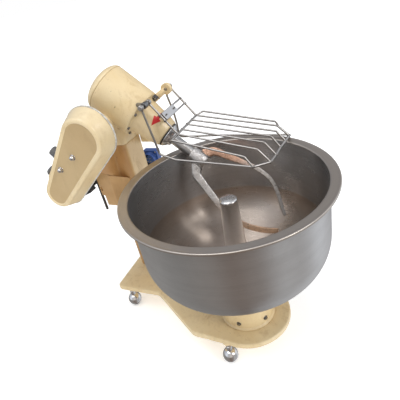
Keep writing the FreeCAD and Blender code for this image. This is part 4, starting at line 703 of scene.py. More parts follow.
# weld bead round the foot of the cone
bm = bmesh.new()
for k in range(54):
    a = 2 * math.pi * k / 54
    rr = 45.6 + 0.6 * noise.noise(Vector((k * 0.7, 0, 0)))
    ball_bm((rr * math.cos(a), rr * math.sin(a), 308.9), 3.6, bm, 0, (1, 1, 0.8), 0.2, 1)
piece("cone_weld_visual", bm, "bowl", "weld", slot="bowl_steel", angle=60)

# ------------------------------------------------------------------ under the bowl
dress("bowl_spindle", "machined")
dress("bowl_doubler", "bowl_out")
dress("spindle_nut_and_bolts", "machined")
dress("bowl_bearings", "machined")
bm = lathe_bm([(20.6, 208.5), (39.9, 208.5), (39.9, 214.05), (74, 214.05), (74, 219.4, 1.5), (70, 222, 2), (52, 222, 0.5), (50, 220.6, 0.5), (48, 222, 0.5),
               (20.6, 222)], BOWL, 96)
piece("seal_cap_visual", bm, "base", "machined", "pedestal_seal_cap", angle=25)
cast_piece("pedestal_visual", "bearing_pedestal", "base", "cream_cast", 1.6, 5, lump=0.25, seed=3)
cast_piece("base_visual", "base_casting", "base", "cream_cast", 2.6, 4, lump=0.35, seed=8)
cast_piece("column_visual", "column", "base", "cream_col", 3.0, 5, lump=0.35, seed=14)

bm = bmesh.new()
for i in range(6):
    a = math.radians(90 + 60 * i)
    d = (math.cos(a), math.sin(a), 0)
    m = aimed((98.05 * d[0], 98.05 * d[1], 156.0), d)
    lathe_bm([(0, 0.1), (8.6, 0.1), (8.6, 1.5, 0.5), (6.2, 1.6), (0, 1.6)], m, 32, bm)
    hex_bm(12.0, 1.5, 5.4, m, bm)
    lathe_bm([(0, -22), (3.9, -22), (3.9, 0.2), (0, 0.2)], m, 16, bm)
for x, y in ((-556.0, 175.0), (-478.0, 175.0), (-478.0, 250.0), (-556.0, 250.0)):
    m = aimed((x, y, 103.9), (0, 0, -1))
    hex_bm(17.0, 0, 6.4, m, bm)
    lathe_bm([(0, -24), (4.9, -24), (4.9, 0.1), (0, 0.1)], m, 20, bm)
piece("base_bolts_visual", bm, "base", "screw", "base_bolts", angle=25)

bm = bmesh.new()
FEET = [(-567.0, 24.0), (-567.0, 392.0), (-37.0, -143.0), (-37.0, 143.0)]
for k, (x, y) in enumerate(FEET):
    fb = bmesh.new()
    m = shifted(BOWL, x, y, 0)
    ball = [(0, 0.0), (14, 0.0), (15.5, 1.5, 0.8), (15.5, 4.4, 0.6)]
    ball += [(29.0 * math.cos(math.radians(-57 + i * 6.05)), 29.0 + 29.0 * math.sin(math.radians(-57 + i * 6.05))) for i in range(22)]
    ball += [(11.0, 56.6, 1.5), (11.0, 76.5, 1.0), (10.0, 78.0, 0.5), (8.0, 78.0), (8.0, 106.5, 1), (7, 108), (0, 108)]
    lathe_bm(ball, m, 64, fb, closed=False, split=lambda i, p: 1 if p[i][1] < 4.0 else 0)
    piece("foot_visual_%d" % (k + 1), fb, "foot_" + "abcd"[k], ["chrome", "rubber"], "levelling_foot_%d" % (k + 1), angle=35)
    m = aimed((x, y, 99.5), (0, 0, -1))
    hex_bm(24.0, 0.1, 9.0, m, bm)
piece("foot_nuts_visual", bm, "base", "machined", "foot_lock_nuts", angle=25)

# ------------------------------------------------------------------ gear head
cast_piece("head_visual", "head_housing", "base", "cream_cast", 1.9, 5, lump=0.30, seed=21)
dome = [(0.0, -184.0)]
for i in range(1, 20):
    a = math.radians(90 - i * 90 / 20.0)
    dome.append((90.0 * math.cos(a), -(146.0 + 38.0 * math.sin(a))))
dome += [(90.0, -148.2, 0.8), (88.8, -147.2, 0.3), (88.8, -146.1), (80, -146.1), (80, -134), (0, -134)]
bm = lathe_bm(dome, HEAD, 128, closed=False)
piece("rear_cap_visual", bm, "base", "cream", "rear_cap", angle=40)

# cap screws round the flange where the nose is bolted to the barrel
bm = bmesh.new()
for k in range(8):
    t = math.radians(-108 + 45 * k)
    place = shifted(HEAD, 80.5 * math.cos(t), -80.5 * math.sin(t), 12.0)
    lathe_bm([(0, -3), (5.6, -3), (5.6, 5.2, 0.8), (5.0, 6.2, 0.6), (3.0, 6.2, 0.2), (2.8, 2.6), (0, 2.6)], place, 24, bm, closed=False)
piece("nose_screws_visual", bm, "base", "screw", slot="machined_steel", angle=25)

bm = lathe_bm([(19.1, 130.6), (47.6, 130.6, 0.6), (47.6, 133.6, 0.8), (45.4, 135.4, 0.8), (46.2, 137.4, 0.8), (37.6, 147.6, 6), (30.5, 153.0, 5), (27.2, 160.4, 0.6),
               (26.0, 161.0, 0.3), (19.1, 161.0)], HEAD, 96, split=lambda i, p: 1 if p[i][1] < 135.6 and p[i][0] > 44 else 0)
piece("nose_collar_visual", bm, "fork", ["collar", "dark_ring"], "nose_collar", angle=28)
bm = lathe_bm([(19.1, 116.2), (29.9, 116.2), (29.9, 129.4, 0.6), (21.5, 129.6, 0.6), (19.1, 127.5)], HEAD, 64)
piece("nose_seal_visual", bm, "base", "rubber", "nose_seal", angle=30)
dress("fork_bearings", "machined")
dress("worm_wheel", "bronze")
dress("worm_shaft", "machined")
dress("worm_bearings", "machined")
bm = lathe_bm([(0, -140), (17.5, -140), (19, -138), (19, 284), (0, 284)], HEAD, 64, closed=False, fine=(2.0, 300.0))
piece("fork_shaft_visual", bm, "fork", "shaft", "fork_shaft", angle=30)

for label, z0, z1, zp, d in (("worm_cover_near", 37.98, 32.02, 45.9, -1), ("worm_cover_far", 290.02, 296.0, 283.2, 1)):
    if d < 0:
        loop = [(13.5, 32.02), (40.8, 32.02, 1), (42, 33.2, 1), (42, 37.98), (25.97, 37.98), (25.97, 45.9), (13.5, 45.9)]
    else:
        loop = [(0, 285.5), (20, 285.5), (20, 283.2), (25.97, 283.2), (25.97, 290.02), (42, 290.02), (42, 294.5, 1.2), (39.5, 296, 1), (24, 296, 0.6),
                (22.5, 295.0, 0.6), (0, 295.0)]
    piece(label + "_visual", lathe_bm(loop, WORM, 72, closed=d < 0), "base", "cream", label, angle=30)
bm = bmesh.new()
for a in (20, 110, 200, 290):
    px, pz = 34 * math.cos(math.radians(a)), 34 * math.sin(math.radians(a))
    for y, n, length in ((25.98, -1, 21.0), (296.02, 1, 15.0)):
        m = aimed((-478.7 + px, y, 853.0 + pz), (0, n, 0))
        hex_bm(13.0, 0.0, 4.8, m, bm)
        lathe_bm([(0, -length), (3.95, -length), (3.95, 0.1), (0, 0.1)], m, 16, bm, closed=False)
piece("worm_case_bolts_visual", bm, "base", "screw", "worm_case_bolts", angle=25)

# arms, switch and lever on the nose
cast_piece("arm_far_visual", "pivot_arm_far", "base", "cream", 0.9, 6, lump=0.15, seed=31)
cast_piece("arm_near_visual", "pivot_arm_near", "base", "arm_steel", 0.8, 5, lump=0.1, seed=33)
bm = prism_bm([(63.5, -41.8), (77.8, -41.8), (77.8, -22.2), (63.5, -22.2)], 12.7, 28.3, HEAD)
piece("limit_switch_visual", bm, "base", "switch_grey", "limit_switch", bevel=1.4)
bm = bmesh.new()
for u, v in ((74.6, 16.0), (74.6, 25.0)):
    m = HEAD @ Matrix(((1, 0, 0, u), (0, 0, 1, -22.2), (0, -1, 0, v), (0, 0, 0, 1)))
    lathe_bm([(0, -0.4), (2.6, -0.4), (2.6, 0.5, 0.3), (1.4, 0.9, 0.2), (0, 0.9)], m, 16, bm, closed=False)
piece("switch_screws_visual", bm, "base", "machined", slot="machined_steel", angle=25)
dress("switch_lever", "machined")

# red arrow laid on the nose, showing the way the fork turns
def nose_r(d):
    run_ = ((12.0, 88.0), (13.0, 76.0), (16.0, 70.0), (22.0, 67.0), (60.0, 61.5), (96.0, 58.5), (127.0, 51.0))
    for (da, ra), (db, rb) in zip(run_[:-1], run_[1:]):
        if d <= db:
            return ra + (rb - ra) * (d - da) / (db - da)
    return 51.0


def nose_hit(x, y, z):
    """Height round the nose and depth along it of a machine point."""
    dx, dy, dz = x - HEAD_O[0], y - HEAD_O[1], z - HEAD_O[2]
    u, v, d = dx * U[0] + dz * U[2], -dy, dx * D[0] + dz * D[2]
    return math.atan2(v, u), d


a0, d0 = nose_hit(-276.3, 182.1, 853.6)
a1, d1 = nose_hit(-299.2, 134.0, 832.6)
bm = bmesh.new()
grain_layer(bm)
run = [(0.0, -5.6), (0.50, -6.2), (0.50, -15.0), (1.0, 0.0), (0.50, 15.0), (0.50, 6.2), (0.0, 5.6)]
r_mid = nose_r((d0 + d1) / 2)
du, dv = (a1 - a0) * r_mid, d1 - d0
ln = math.hypot(du, dv)
tu, tv = du / ln, dv / ln


def arrow_pt(s, w, lift):
    gu, gv = tu * ln * s - tv * w, tv * ln * s + tu * w
    ang, dd = a0 + gu / r_mid, d0 + gv
    rr = nose_r(dd) + lift
    return HEAD @ Vector((rr * math.cos(ang), rr * math.sin(ang), dd))


NS = 26
for shell in (0.75,):
    cols = []
    for i in range(NS + 1):
        s = i / NS
        half = 5.0 + 0.8 * s if s < 0.46 else max(0.15, 15.0 * (1 - (s - 0.46) / 0.54))
        cols.append([bm.verts.new(arrow_pt(s, half * (k / 3.0 - 1.0), shell)) for k in range(7)])
    for a, b in zip(cols[:-1], cols[1:]):
        for k in range(6):
            bm.faces.new((a[k], a[k + 1], b[k + 1], b[k]))
ret = bmesh.ops.extrude_face_region(bm, geom=bm.faces[:])
nrm = HEAD.to_3x3() @ Vector((math.cos(a0), math.sin(a0), 0))
for v in [g for g in ret["geom"] if isinstance(g, bmesh.types.BMVert)]:
    v.co -= nrm.normalized() * 0.0022
piece("turn_arrow_visual", bm, "base", "red", slot="cream_paint", angle=40)

# ------------------------------------------------------------------ fork
PF = [(22, -12, 18, 19), (40, 0, 17, 17), (55, 16, 15, 15), (68, 60, 12, 12), (84, 118, 9.5, 10.5), (95, 160, 8, 9.5), (98.5, 190, 7.5, 9),
      (98, 222, 7.2, 8.5), (91, 252, 7, 8.2), (75, 284, 6.8, 8), (56, 313, 6.6, 7.6), (39, 336, 6.3, 7.2), (26, 358, 6, 7)]
PN = [(22, -12, 18, 19), (40, 0, 17, 17), (55, 16, 16, 15), (68, 60, 13, 12), (84, 118, 12, 11), (95, 160, 11, 10.5), (98.5, 190, 10, 10),
      (98.5, 222, 9.6, 9.8), (96, 252, 9.6, 9.6), (89, 282, 9.8, 9.4), (76, 314, 10, 9.2), (59, 345, 9.8, 8.8), (39, 373, 8.8, 7.6)]


def spline(keys, n):
    out = []
    m = len(keys)
    for i in range(m - 1):
        p0, p1, p2, p3 = keys[max(0, i - 1)], keys[i], keys[i + 1], keys[min(m - 1, i + 2)]
        for k in range(n):
            t = k / n
            out.append(tuple(0.5 * ((2 * b) + (-a + c) * t + (2 * a - 5 * b + 4 * c - d) * t * t + (-a + 3 * b - 3 * c + d) * t ** 3)
                             for a, b, c, d in zip(p0, p1, p2, p3)))
    out.append(tuple(float(v) for v in keys[-1]))
    return out


def prong_bm(side):
    keys = spline(PF if side > 0 else PN, 8)
    tip = keys[-1]
    pts, sizes = [], []
    for x, z, a, h in keys:
        pts.append((side * x, 0.0, 292.0 + z))
        sizes.append((a, h))
    dirn = (Vector(pts[-1]) - Vector(pts[-2])).normalized()
    for ahead, shrink in ((3.4, 0.97), (4.4, 0.86), (4.9, 0.70)):
        pts.append(tuple(Vector(pts[len(keys) - 1]) + dirn * ahead))
        sizes.append((tip[2] * shrink, tip[3] * shrink))

    def section(i, t):
        a, h = sizes[min(i, len(sizes) - 1)]
        w = 1.0 + 0.035 * noise.noise(Vector((i * 0.33, side * 5.0, 0.0)))
        return round_rect(h * w, a * w, min(a, h) * (0.28 if i > 20 else 0.42) * w, 6)

    return sweep_bm(pts, section, place=FORK, up=(0, 1, 0))


for side, label, look in ((1, "prong_left", "forged_far"), (-1, "prong_right", "forged_near")):
    piece(label + "_visual", prong_bm(side), "fork", look, label, angle=50)
bm = lathe_bm([(19.1, 240), (22.2, 240.2, 0.8), (24, 244, 3), (28, 266, 12), (29.3, 280, 10), (29.3, 292, 6), (25.5, 301.5, 5), (21, 304, 2), (0, 304)], FORK, 72, closed=False)
for v in bm.verts:
    v.co += Vector((noise.noise(v.co * 40), noise.noise(v.co * 40 + Vector((9, 0, 0))), noise.noise(v.co * 40 + Vector((0, 9, 0))))) * 0.0006
piece("fork_hub_visual", bm, "fork", "forged", "fork_hub", angle=50)
bm = bmesh.new()
for side in (1, -1):
    for k in range(46):
        t = 2 * math.pi * k / 46
        x = side * (26.5 + 2.0 * math.cos(2 * t))
        ang = 0.70 * math.sin(t)
        ball_c = FORK @ Vector((side * 28.6 * math.cos(ang * 0.98), 28.6 * math.sin(ang * 0.98), 285.0 + 22.0 * math.cos(t)))
        made = bmesh.ops.create_icosphere(bm, subdivisions=1, radius=0.0036 * (1 + 0.25 * noise.noise(Vector((k * 0.9, side * 3.0, 0)))))
        for v in made["verts"]:
            v.co += ball_c
grain_layer(bm)
piece("fork_weld_visual", bm, "fork", "weld", slot="forged_steel", angle=60)

# ------------------------------------------------------------------ wire guard
PX, PZ = -285.6, 915.9
REAR = (-201.5, 800.5)
RW = 3.7
ym = [292.0, 250.0, 211.0, 167.0, 128.0, 80.0]
bends = [(98.9, 752.4), (105.4, 751.0), (97.0, 751.0), (85.0, 750.0), (73.1, 744.2), (44.2, 742.5)]
ends = [(137.4, 714.6), (133.6, 715.0), (125.8, 710.2), (120.7, 705.1), (112.2, 699.0), (68.0, 706.8)]


def zf(x):
    return PZ + (x - PX) * (REAR[1] - PZ) / (REAR[0] - PX)


bm = bmesh.new()
wire_bm([(REAR[0], 294.0, REAR[1]), (REAR[0], 78.0, REAR[1])], RW + 0.4, bm)
wire_bm([(131.6, 314.0, 708.0)] + [(e[0], y, e[1]) for y, e in zip(ym, ends)], RW + 0.3, bm, bend=10)
for y, b_, e in zip(ym, bends, ends):
    wire_bm([(REAR[0], y, REAR[1]), (b_[0], y, b_[1]), (e[0], y, e[1])], RW - 0.4, bm)
wire_bm([(REAR[0], 292.0, REAR[1]), (-182.6, 316.0, 806.7), (88.4, 316.0, 758.0), (97.4, 316.0, 738.9), (131.6, 314.0, 708.0)], RW - 0.2, bm, bend=10)
wire_bm([(PX, 81.0, PZ), (-267.7, 81.0, 797.7), (-261.4, 81.0, 747.6), (-202.9, 80.3, 727.2), (68.0, 80.0, 706.8)], RW, bm)
wire_bm([(PX, 292.4, PZ), (-305.4, 292.4, 883.8), (-292.9, 292.2, 818.3), (-290.1, 292.0, 769.0), (-294.0, 294.0, 714.0), (-120.0, 314.0, 709.5), (131.6, 314.0, 708.0)], RW, bm)
wire_bm([(PX, 291.6, PZ), (REAR[0], 291.6, REAR[1])], RW + 0.15, bm)
wire_bm([(PX, 130.0, PZ), (REAR[0], 130.0, REAR[1])], RW + 0.15, bm)
for x in (-251.6, -237.5):
    wire_bm([(x, 291.6, zf(x)), (x, 130.0, zf(x))], RW - 0.5, bm)
for y in (81.0, 130.0, 292.0):
    m = aimed((PX, y - 4.5, PZ), (0, 1, 0))
    lathe_bm([(5.6, 0), (8.7, 0, 0.5), (9.5, 0.8, 0.5), (9.5, 8.2, 0.5), (8.7, 9, 0.5), (5.6, 9)], m, 32, bm)
k = 0
welds = [(REAR[0], y, REAR[1]) for y in ym] + [(e[0], y, e[1]) for y, e in zip(ym, ends)]
welds += [(131.6, 314.0, 708.0), (REAR[0], 130.0, REAR[1])] + [(x, y, zf(x)) for x in (-251.6, -237.5) for y in (291.6, 130.0)]
for c in welds:
    for j in range(4):
        k += 1
        off = Vector((noise.noise(Vector((k * 1.7, 0, 0))), noise.noise(Vector((0, k * 1.7, 0))), noise.noise(Vector((0, 0, k * 1.7))))) * 5.0
        ball_bm(Vector(c) + off, RW + 0.9, bm, 1, (1, 1, 0.9), 0.25, 2)
for y in (81.0, 130.0, 292.0):
    for j in range(3):
        k += 1
        ball_bm((PX + 4.5 - j * 0.5, y + (j - 1) * 2.0, PZ - 8.5), 3.0, bm, 1, (1, 1, 1), 0.25, 2)
piece("wire_guard_visual", bm, "guard", ["wire", "wire_weld"], "wire_guard", angle=50)
m = aimed((PX, 0, PZ), (0, 1, 0))
bm = lathe_bm([(0, 72), (7.4, 72, 1.2), (8.5, 73.4, 1.0), (8.5, 76.2), (5.5, 76.3), (5.5, 134.5), (8.5, 134.6), (8.5, 138, 0.6), (7.6, 138.8, 0.6), (0, 138.8)], m, 40, closed=False)
lathe_bm([(0, 257), (5.5, 257, 0.6), (5.5, 296.8), (8.5, 296.8), (8.5, 300, 0.8), (7.2, 301, 0.6), (0, 301)], m, 40, bm, closed=False)
piece("pivot_pins_visual", bm, "guard", "machined", "pivot_pins", angle=30)
cx, cz = (-251.6 - 237.5) / 2, (zf(-251.6) + zf(-237.5)) / 2
slope = Vector((-237.5 + 251.6, 0, zf(-237.5) - zf(-251.6))).normalized()
up_ = Vector((0, 1, 0)).cross(slope)
if up_.z < 0:
    up_ = -up_
CL = basis((cx, 179.0, cz), slope, up_)
bm = prism_bm(round_rect(13.9, 42.8, 2.5, 4), -5.9, 5.9, CL)
piece("guard_clamp_visual", bm, "guard", "clamp", "guard_clamp", bevel=1.2)
bm = bmesh.new()
for x, y in ((0, 30.0), (0, -30.0)):
    lathe_bm([(0, 5.5), (3.0, 5.5), (3.0, 10.2, 0.5), (2.6, 10.8, 0.5), (1.7, 10.8), (1.6, 8.2), (0, 8.2)], shifted(CL, x, y, 0), 24, bm, closed=False)
piece("clamp_screws_visual", bm, "guard", "screw", slot="machined_steel", angle=25)

# ------------------------------------------------------------------ belt drive
L_B = 315.5


def tear(r0, r1, n=40):
    """Outline round both pulleys, same number of points whatever the radii."""
    f = math.acos(max(-1.0, min(1.0, (r0 - r1) / L_B)))
    pts_ = []
    for k in range(n + 1):
        a = -f + 2 * f * k / n
        pts_.append((L_B + r1 * math.cos(a), r1 * math.sin(a)))
    side_a = pts_[-1]
    first0 = (r0 * math.cos(f), r0 * math.sin(f))
    for k in range(1, 20):
        t = k / 20
        pts_.append((side_a[0] + (first0[0] - side_a[0]) * t, side_a[1] + (first0[1] - side_a[1]) * t))
    for k in range(n + 1):
        a = f + (2 * math.pi - 2 * f) * k / n
        pts_.append((r0 * math.cos(a), r0 * math.sin(a)))
    last = pts_[-1]
    first1 = pts_[0]
    for k in range(1, 20):
        t = k / 20
        pts_.append((last[0] + (first1[0] - last[0]) * t, last[1] + (first1[1] - last[1]) * t))
    return pts_


def tear_loft(rings, place, split=None):
    """rings of (inset, z): outlines drawn in by the inset from the cover's open edge."""
    bm_ = bmesh.new()
    lay = grain_layer(bm_)
    made = []
    for d_, z in rings:
        ring = []
        for x, y in tear(76.0 - d_, 101.0 - d_):
            v = bm_.verts.new(place @ Vector((x, y, z)))
            v[lay] = (x / 20, y / 20, z / 5)
            ring.append(v)
        made.append(ring)
    for i, (a, b) in enumerate(zip(made[:-1], made[1:])):
        for k_ in range(len(a)):
            f = bm_.faces.new((a[k_], a[(k_ + 1) % len(a)], b[(k_ + 1) % len(a)], b[k_]))
            f.material_index = split(i) if split else 0
    return bm_, made


SLOPE = 21.0 / 60.0
rings = [(3.0 + 3.2, -25.9), (3.0, -25.9), (3.0, -24.0)]
for k in range(1, 7):
    z = -24 + k * (23.5 + 24) / 7
    rings.append((3.0 + SLOPE * (z + 26) - 0.9 * math.sin(math.pi * k / 7), z))
ang_s = math.atan2(60, 21)
for k in range(0, 9):
    t = k / 8
    cx_ = 3.0 + SLOPE * (23.0 + 26) + 10.5
    a = math.radians(180) - t * math.radians(90)
    r_ = 10.5
    rings.append((cx_ + r_ * math.cos(a) * (1 if k else 1), 23.5 + r_ * math.sin(a)))
flat_in = rings[-1][0]
rings += [(flat_in + 3.0, 34.0), (flat_in + 4.4, 33.6), (flat_in + 5.8, 32.6), (flat_in + 7.2, 31.8), (flat_in + 8.8, 31.4), (flat_in + 12.0, 31.3)]
n_side = len(rings)
# the last rings and the flat front face take cream_panel_painted_shade, the painted-shade copy of the cover enamel
bm, made = tear_loft(rings, BELT, lambda i: 1 if i >= n_side - 3 else 0)
f = bm.faces.new(made[-1])
f.material_index = 1
# inside of the sheet
inner = [(3.0 + 3.2, -25.9), (3.0 + 3.2 + SLOPE * 50, 24.0), (3.0 + 3.2 + SLOPE * 56 + 4, 28.4), (flat_in + 12.0, 28.4)]
prev = made[0]
lay = grain_layer(bm)
for d_, z in inner[1:]:
    ring = []
    for x, y in tear(76.0 - d_, 101.0 - d_):
        ring.append(bm.verts.new(BELT @ Vector((x, y, z))))
    for k in range(len(ring)):
        bm.faces.new((prev[k], prev[(k + 1) % len(ring)], ring[(k + 1) % len(ring)], ring[k])).material_index = 0
    prev = ring
bm.faces.new(prev)
piece("belt_cover_visual", bm, "base", ["cream_cover", "cream_panel_painted_shade"], "belt_cover", angle=38)

rings = [(30, -26.1), (0.8, -26.1), (0, -26.9), (0, -31.2), (0.8, -32), (30, -32)]
bm, made = tear_loft(rings, BELT)
bm.faces.new(made[0])
bm.faces.new(made[-1])
piece("back_plate_visual", bm, "base", "white", "back_plate", angle=30)
bm = bmesh.new()
for x, y in ((226.9, 3.1), (134.1, 26.3)):
    m = shifted(BELT, x, y, 0)
    lathe_bm([(0, 31.35), (11.6, 31.35), (11.6, 32.7, 0.5), (5, 32.9), (0, 32.9)], m, 40, bm, closed=False)
    hex_bm(18.0, 32.7, 38.6, m, bm, crown=1.0)
    dome = [(8.3 * math.cos(math.radians(k * 9)), 38.3 + 7.4 * math.sin(math.radians(k * 9))) for k in range(11)]
    lathe_bm(dome[:-1] + [(0, 45.7)], m, 40, bm, closed=False)
    lathe_bm([(0, -31.9), (4.9, -31.9), (4.9, 31.4), (0, 31.4)], m, 20, bm, closed=False)
piece("cover_nuts_visual", bm, "base", "chrome", "cover_studs", angle=28)
dress("big_pulley", "iron")
dress("motor_pulley", "iron")
dress("v_belts", "rubber")

# ------------------------------------------------------------------ motor
dress("motor_flange", "motor")
dress("motor_body", "motor")
dress("motor_end_shield", "motor")
dress("motor_rotor", "machined")
dress("motor_bearings", "machined")
dress("motor_fan", "black")
dress("fan_cowl", "motor")
bm = bmesh.new()
for x, y in ((40, 40), (-40, 40), (-40, -40), (40, -40)):
    cb, sb = math.cos(BA), math.sin(BA)
    m = shifted(MOTOR, x * cb - y * sb, -(x * sb + y * cb), 25.7) @ Matrix.Rotation(math.pi, 4, "X")
    hex_bm(13.0, 0.0, 4.6, m, bm)
    lathe_bm([(0, -22), (3.95, -22), (3.95, 0.1), (0, 0.1)], m, 16, bm, closed=False)
piece("motor_bolts_visual", bm, "motor", "screw", "motor_bolts", angle=25)
# the bracket takes the darker cream, painted shade behind the belt cover
cast_piece("bracket_visual", "motor_bracket", "base", "cream_bracket_painted_shade", 1.5, 4, lump=0.2, seed=41)
dress("support_plate", "dark", angle=25)
dress("strap_bolts", "screw", angle=25)

# ------------------------------------------------------------------ controls
m = BELT @ Matrix(((1, 0, 0, 0), (0, 1, 0, 0), (0, 0, 1, 0), (0, 0, 0, 1)))
bm = prism_bm([(-34, 77.2), (150, 77.2), (150, 93), (-34, 93)], -79.8, -35.2, BELT)
piece("control_box_visual", bm, "base", "cream", "control_box", bevel=2.6, segs=4)
for k, x, tall in ((1, 90.0, 32.0), (2, -10.474, 14.0)):
    m = BELT @ Matrix(((1, 0, 0, x), (0, 0, 1, 93.4), (0, -1, 0, -57.0), (0, 0, 0, 1)))
    bm = bmesh.new()
    lay = grain_layer(bm)
    path = loop_points([(0, -8), (4, -8), (4, 0), (21.2, 0, 0.4), (22.5, 1.6, 0.8), (22.5, 7.0, 1.0), (21.0, 8.6, 0.8), (20.2, 9.6, 0.6), (19.3, tall - 2.6, 1.2),
                        (17.2, tall - 0.2, 1.4), (0, tall - 0.2)])
    rings = []
    for r, z in path:
        ring = []
        for j in range(96):
            a = 2 * math.pi * j / 96
            rr = r * (1 - 0.035 * max(0.0, math.cos(12 * a)) * (1 if 9.4 < z < tall - 1.6 else 0)) if r > 14 else r
            v = bm.verts.new(m @ Vector((max(rr, 0.02) * math.cos(a), max(rr, 0.02) * math.sin(a), z)))
            ring.append(v)
        rings.append(ring)
    for a, b in zip(rings[:-1], rings[1:]):
        for j in range(96):
            bm.faces.new((a[j], a[(j + 1) % 96], b[(j + 1) % 96], b[j]))
    bm.faces.new(rings[0])
    bm.faces.new(rings[-1])
    prism_bm([(2.2, -1.4), (16.8, -1.4), (17.2, -1.0), (17.2, 1.0), (16.8, 1.4), (2.2, 1.4)], tall - 2.0, tall - 0.05, m, bm, 1)
    piece("knob_visual_%d" % k, bm, "knob_power" if k == 1 else "knob_timer", ["grey", "grey_mark"], "knob_%d" % k, angle=32)

# ------------------------------------------------------------------ power inlet
bm = prism_bm([(-503.8, -571.2), (-436.2, -571.2), (-436.2, -638.8), (-503.8, -638.8)], 318.0, 345.8, basis((0, 0, 0), (1, 0, 0), (0, 1, 0)))
prism_bm([(-509.8, 272.1), (-480.2, 272.1), (-480.2, 275.9), (-506.4, 275.9), (-506.4, 319.0), (-502.2, 319.0), (-502.2, 329.8), (-509.8, 329.8)], 584.2, 627.8,
         basis((0, 0, 0), (1, 0, 0), (0, 0, 1)), bm, 1)
piece("inlet_box_visual", bm, "base", ["blue", "cream"], "inlet_box", bevel=1.0)
bm = prism_bm(round_rect(36, 36, 6, 8), 0.1, 4.0, INLET)
lathe_bm([(25.2, 3.0), (31.0, 3.0), (29.2, 6.0, 2), (28.6, 20.0, 1), (28.9, 24.6, 0.6), (25.6, 25.0, 0.6), (25.2, 23.5)], INLET, 72, bm)
for a in range(0, 360, 30):
    t = math.radians(a)
    m = INLET @ Matrix.Rotation(t, 4, "Z")
    prism_bm([(27.9, -0.9), (29.9, -0.9), (29.9, 0.9), (27.9, 0.9)], 4.0, 20.0, m, bm)
# inner wall of the shroud in the dark blue: painted shade inside the shroud
lathe_bm([(25.1, 3.0), (25.1, 23.0), (24.6, 23.0), (24.4, 4.4), (17.2, 4.4)], INLET, 72, bm, mat=1, closed=False)
lathe_bm([(0, 4), (17, 4), (17, 17.2, 0.8), (16.2, 18, 0.6), (0, 18)], INLET, 64, bm, mat=3, closed=False)
for k in range(4):
    a = math.radians(45 + 90 * k)
    lathe_bm([(0, 17), (2.4, 17), (2.4, 22.4, 0.8), (1.6, 23, 0.4), (0, 23)], shifted(INLET, 10 * math.cos(a), 10 * math.sin(a), 0), 16, bm, mat=2, closed=False)
for sx in (-1, 1):
    for sy in (-1, 1):
        lathe_bm([(0, 3.6), (4.2, 3.6), (4.2, 4.9, 0.5), (3.0, 5.8, 0.6), (0, 5.8)], shifted(INLET, sx * 29, sy * 29, 0), 20, bm, mat=2, closed=False)
piece("power_inlet_visual", bm, "base", ["blue", "blue_painted_shade", "machined", "blue_pale"], "power_inlet", angle=30)

# ------------------------------------------------------------------ floor, light, camera
def stage_mat(name, colour, rough=0.9, emit=None, strength=0.0):
    m_ = bpy.data.materials.new(name)
    m_.use_nodes = True
    b = m_.node_tree.nodes["Principled BSDF"]
    b.inputs["Base Color"].default_value = (*colour, 1)
    b.inputs["Roughness"].default_value = rough
    if emit:
        b.inputs["Emission Color"].default_value = (*emit, 1)
        b.inputs["Emission Strength"].default_value = strength
    return m_


def stage_plane(name, centre, size, facing, material, camera=True):
    me = bpy.data.meshes.new(name)
    w, h = size[0] / 2, size[1] / 2
    me.from_pydata([(-w, -h, 0), (w, -h, 0), (w, h, 0), (-w, h, 0)], [], [(0, 1, 2, 3)])
    o = bpy.data.objects.new(name, me)
    o.data.materials.append(material)
    bpy.context.scene.collection.objects.link(o)
    o.location = centre
    o.rotation_mode = "QUATERNION"
    o.rotation_quaternion = Vector(facing).to_track_quat("Z", "Y")
    if not camera:
        o.visible_camera = False
        o.visible_shadow = False
    return o


floor_o = stage_plane("floor", (0, 0, -0.0005), (60, 60), (0, 0, 1), stage_mat("floor_white", (0.93, 0.93, 0.93), 0.95, (1.0, 1.0, 1.0), 0.36))
floor_o.visible_glossy = False

# The room: white to the camera, soft fill for painted parts, and a studio with a darker floor and soft strips for the metal to mirror.
world = bpy.data.worlds.new("studio")
bpy.context.scene.world = world
world.use_nodes = True
wt = world.node_tree
wt.nodes.clear()


def wnode(kind, **kw):
    n = wt.nodes.new(kind)
    for k_, v_ in kw.items():
        setattr(n, k_, v_)
    return n


def wmath(op, a, b=None, c=None, clamp=False):
    n = wnode("ShaderNodeMath", operation=op, use_clamp=clamp)
    for k_, v_ in enumerate((a, b, c)):
        if v_ is None:
            continue
        if hasattr(v_, "is_output"):
            wt.links.new(v_, n.inputs[k_])
        else:
            n.inputs[k_].default_value = v_
    return n.outputs[0]


def wramp(fac, stops):
    n = wnode("ShaderNodeValToRGB")
    n.color_ramp.interpolation = "EASE"
    el = n.color_ramp.elements
    while len(el) < len(stops):
        el.new(0.5)
    for k_, (p_, c_) in enumerate(stops):
        el[k_].position = p_
        el[k_].color = (c_, c_, c_, 1) if isinstance(c_, (int, float)) else (*c_, 1)
    wt.links.new(fac, n.inputs[0])
    return n.outputs[0]


def wmix(fac, a, b):
    n = wnode("ShaderNodeMix", data_type="RGBA")
    wt.links.new(fac, n.inputs["Factor"])
    ins = [k_ for k_ in n.inputs if k_.type == "RGBA"]
    for sk, v_ in zip(ins, (a, b)):
        if hasattr(v_, "is_output"):
            wt.links.new(v_, sk)
        else:
            sk.default_value = (*v_, 1)
    return [k_ for k_ in n.outputs if k_.type == "RGBA"][0]


sep = wnode("ShaderNodeSeparateXYZ")
wt.links.new(wnode("ShaderNodeTexCoord").outputs["Generated"], sep.inputs[0])
sx, sy, sz = sep.outputs
to_cam = wmath("ADD", wmath("MULTIPLY", sx, 0.4934), wmath("MULTIPLY", sy, -0.8697))
to_right = wmath("ADD", wmath("MULTIPLY", sx, 0.8697), wmath("MULTIPLY", sy, 0.4934))
turn = wmath("MULTIPLY_ADD", wmath("ARCTAN2", to_right, to_cam), 0.5 / math.pi, 0.5)


def psi(deg):
    return (deg + 180.0) / 360.0


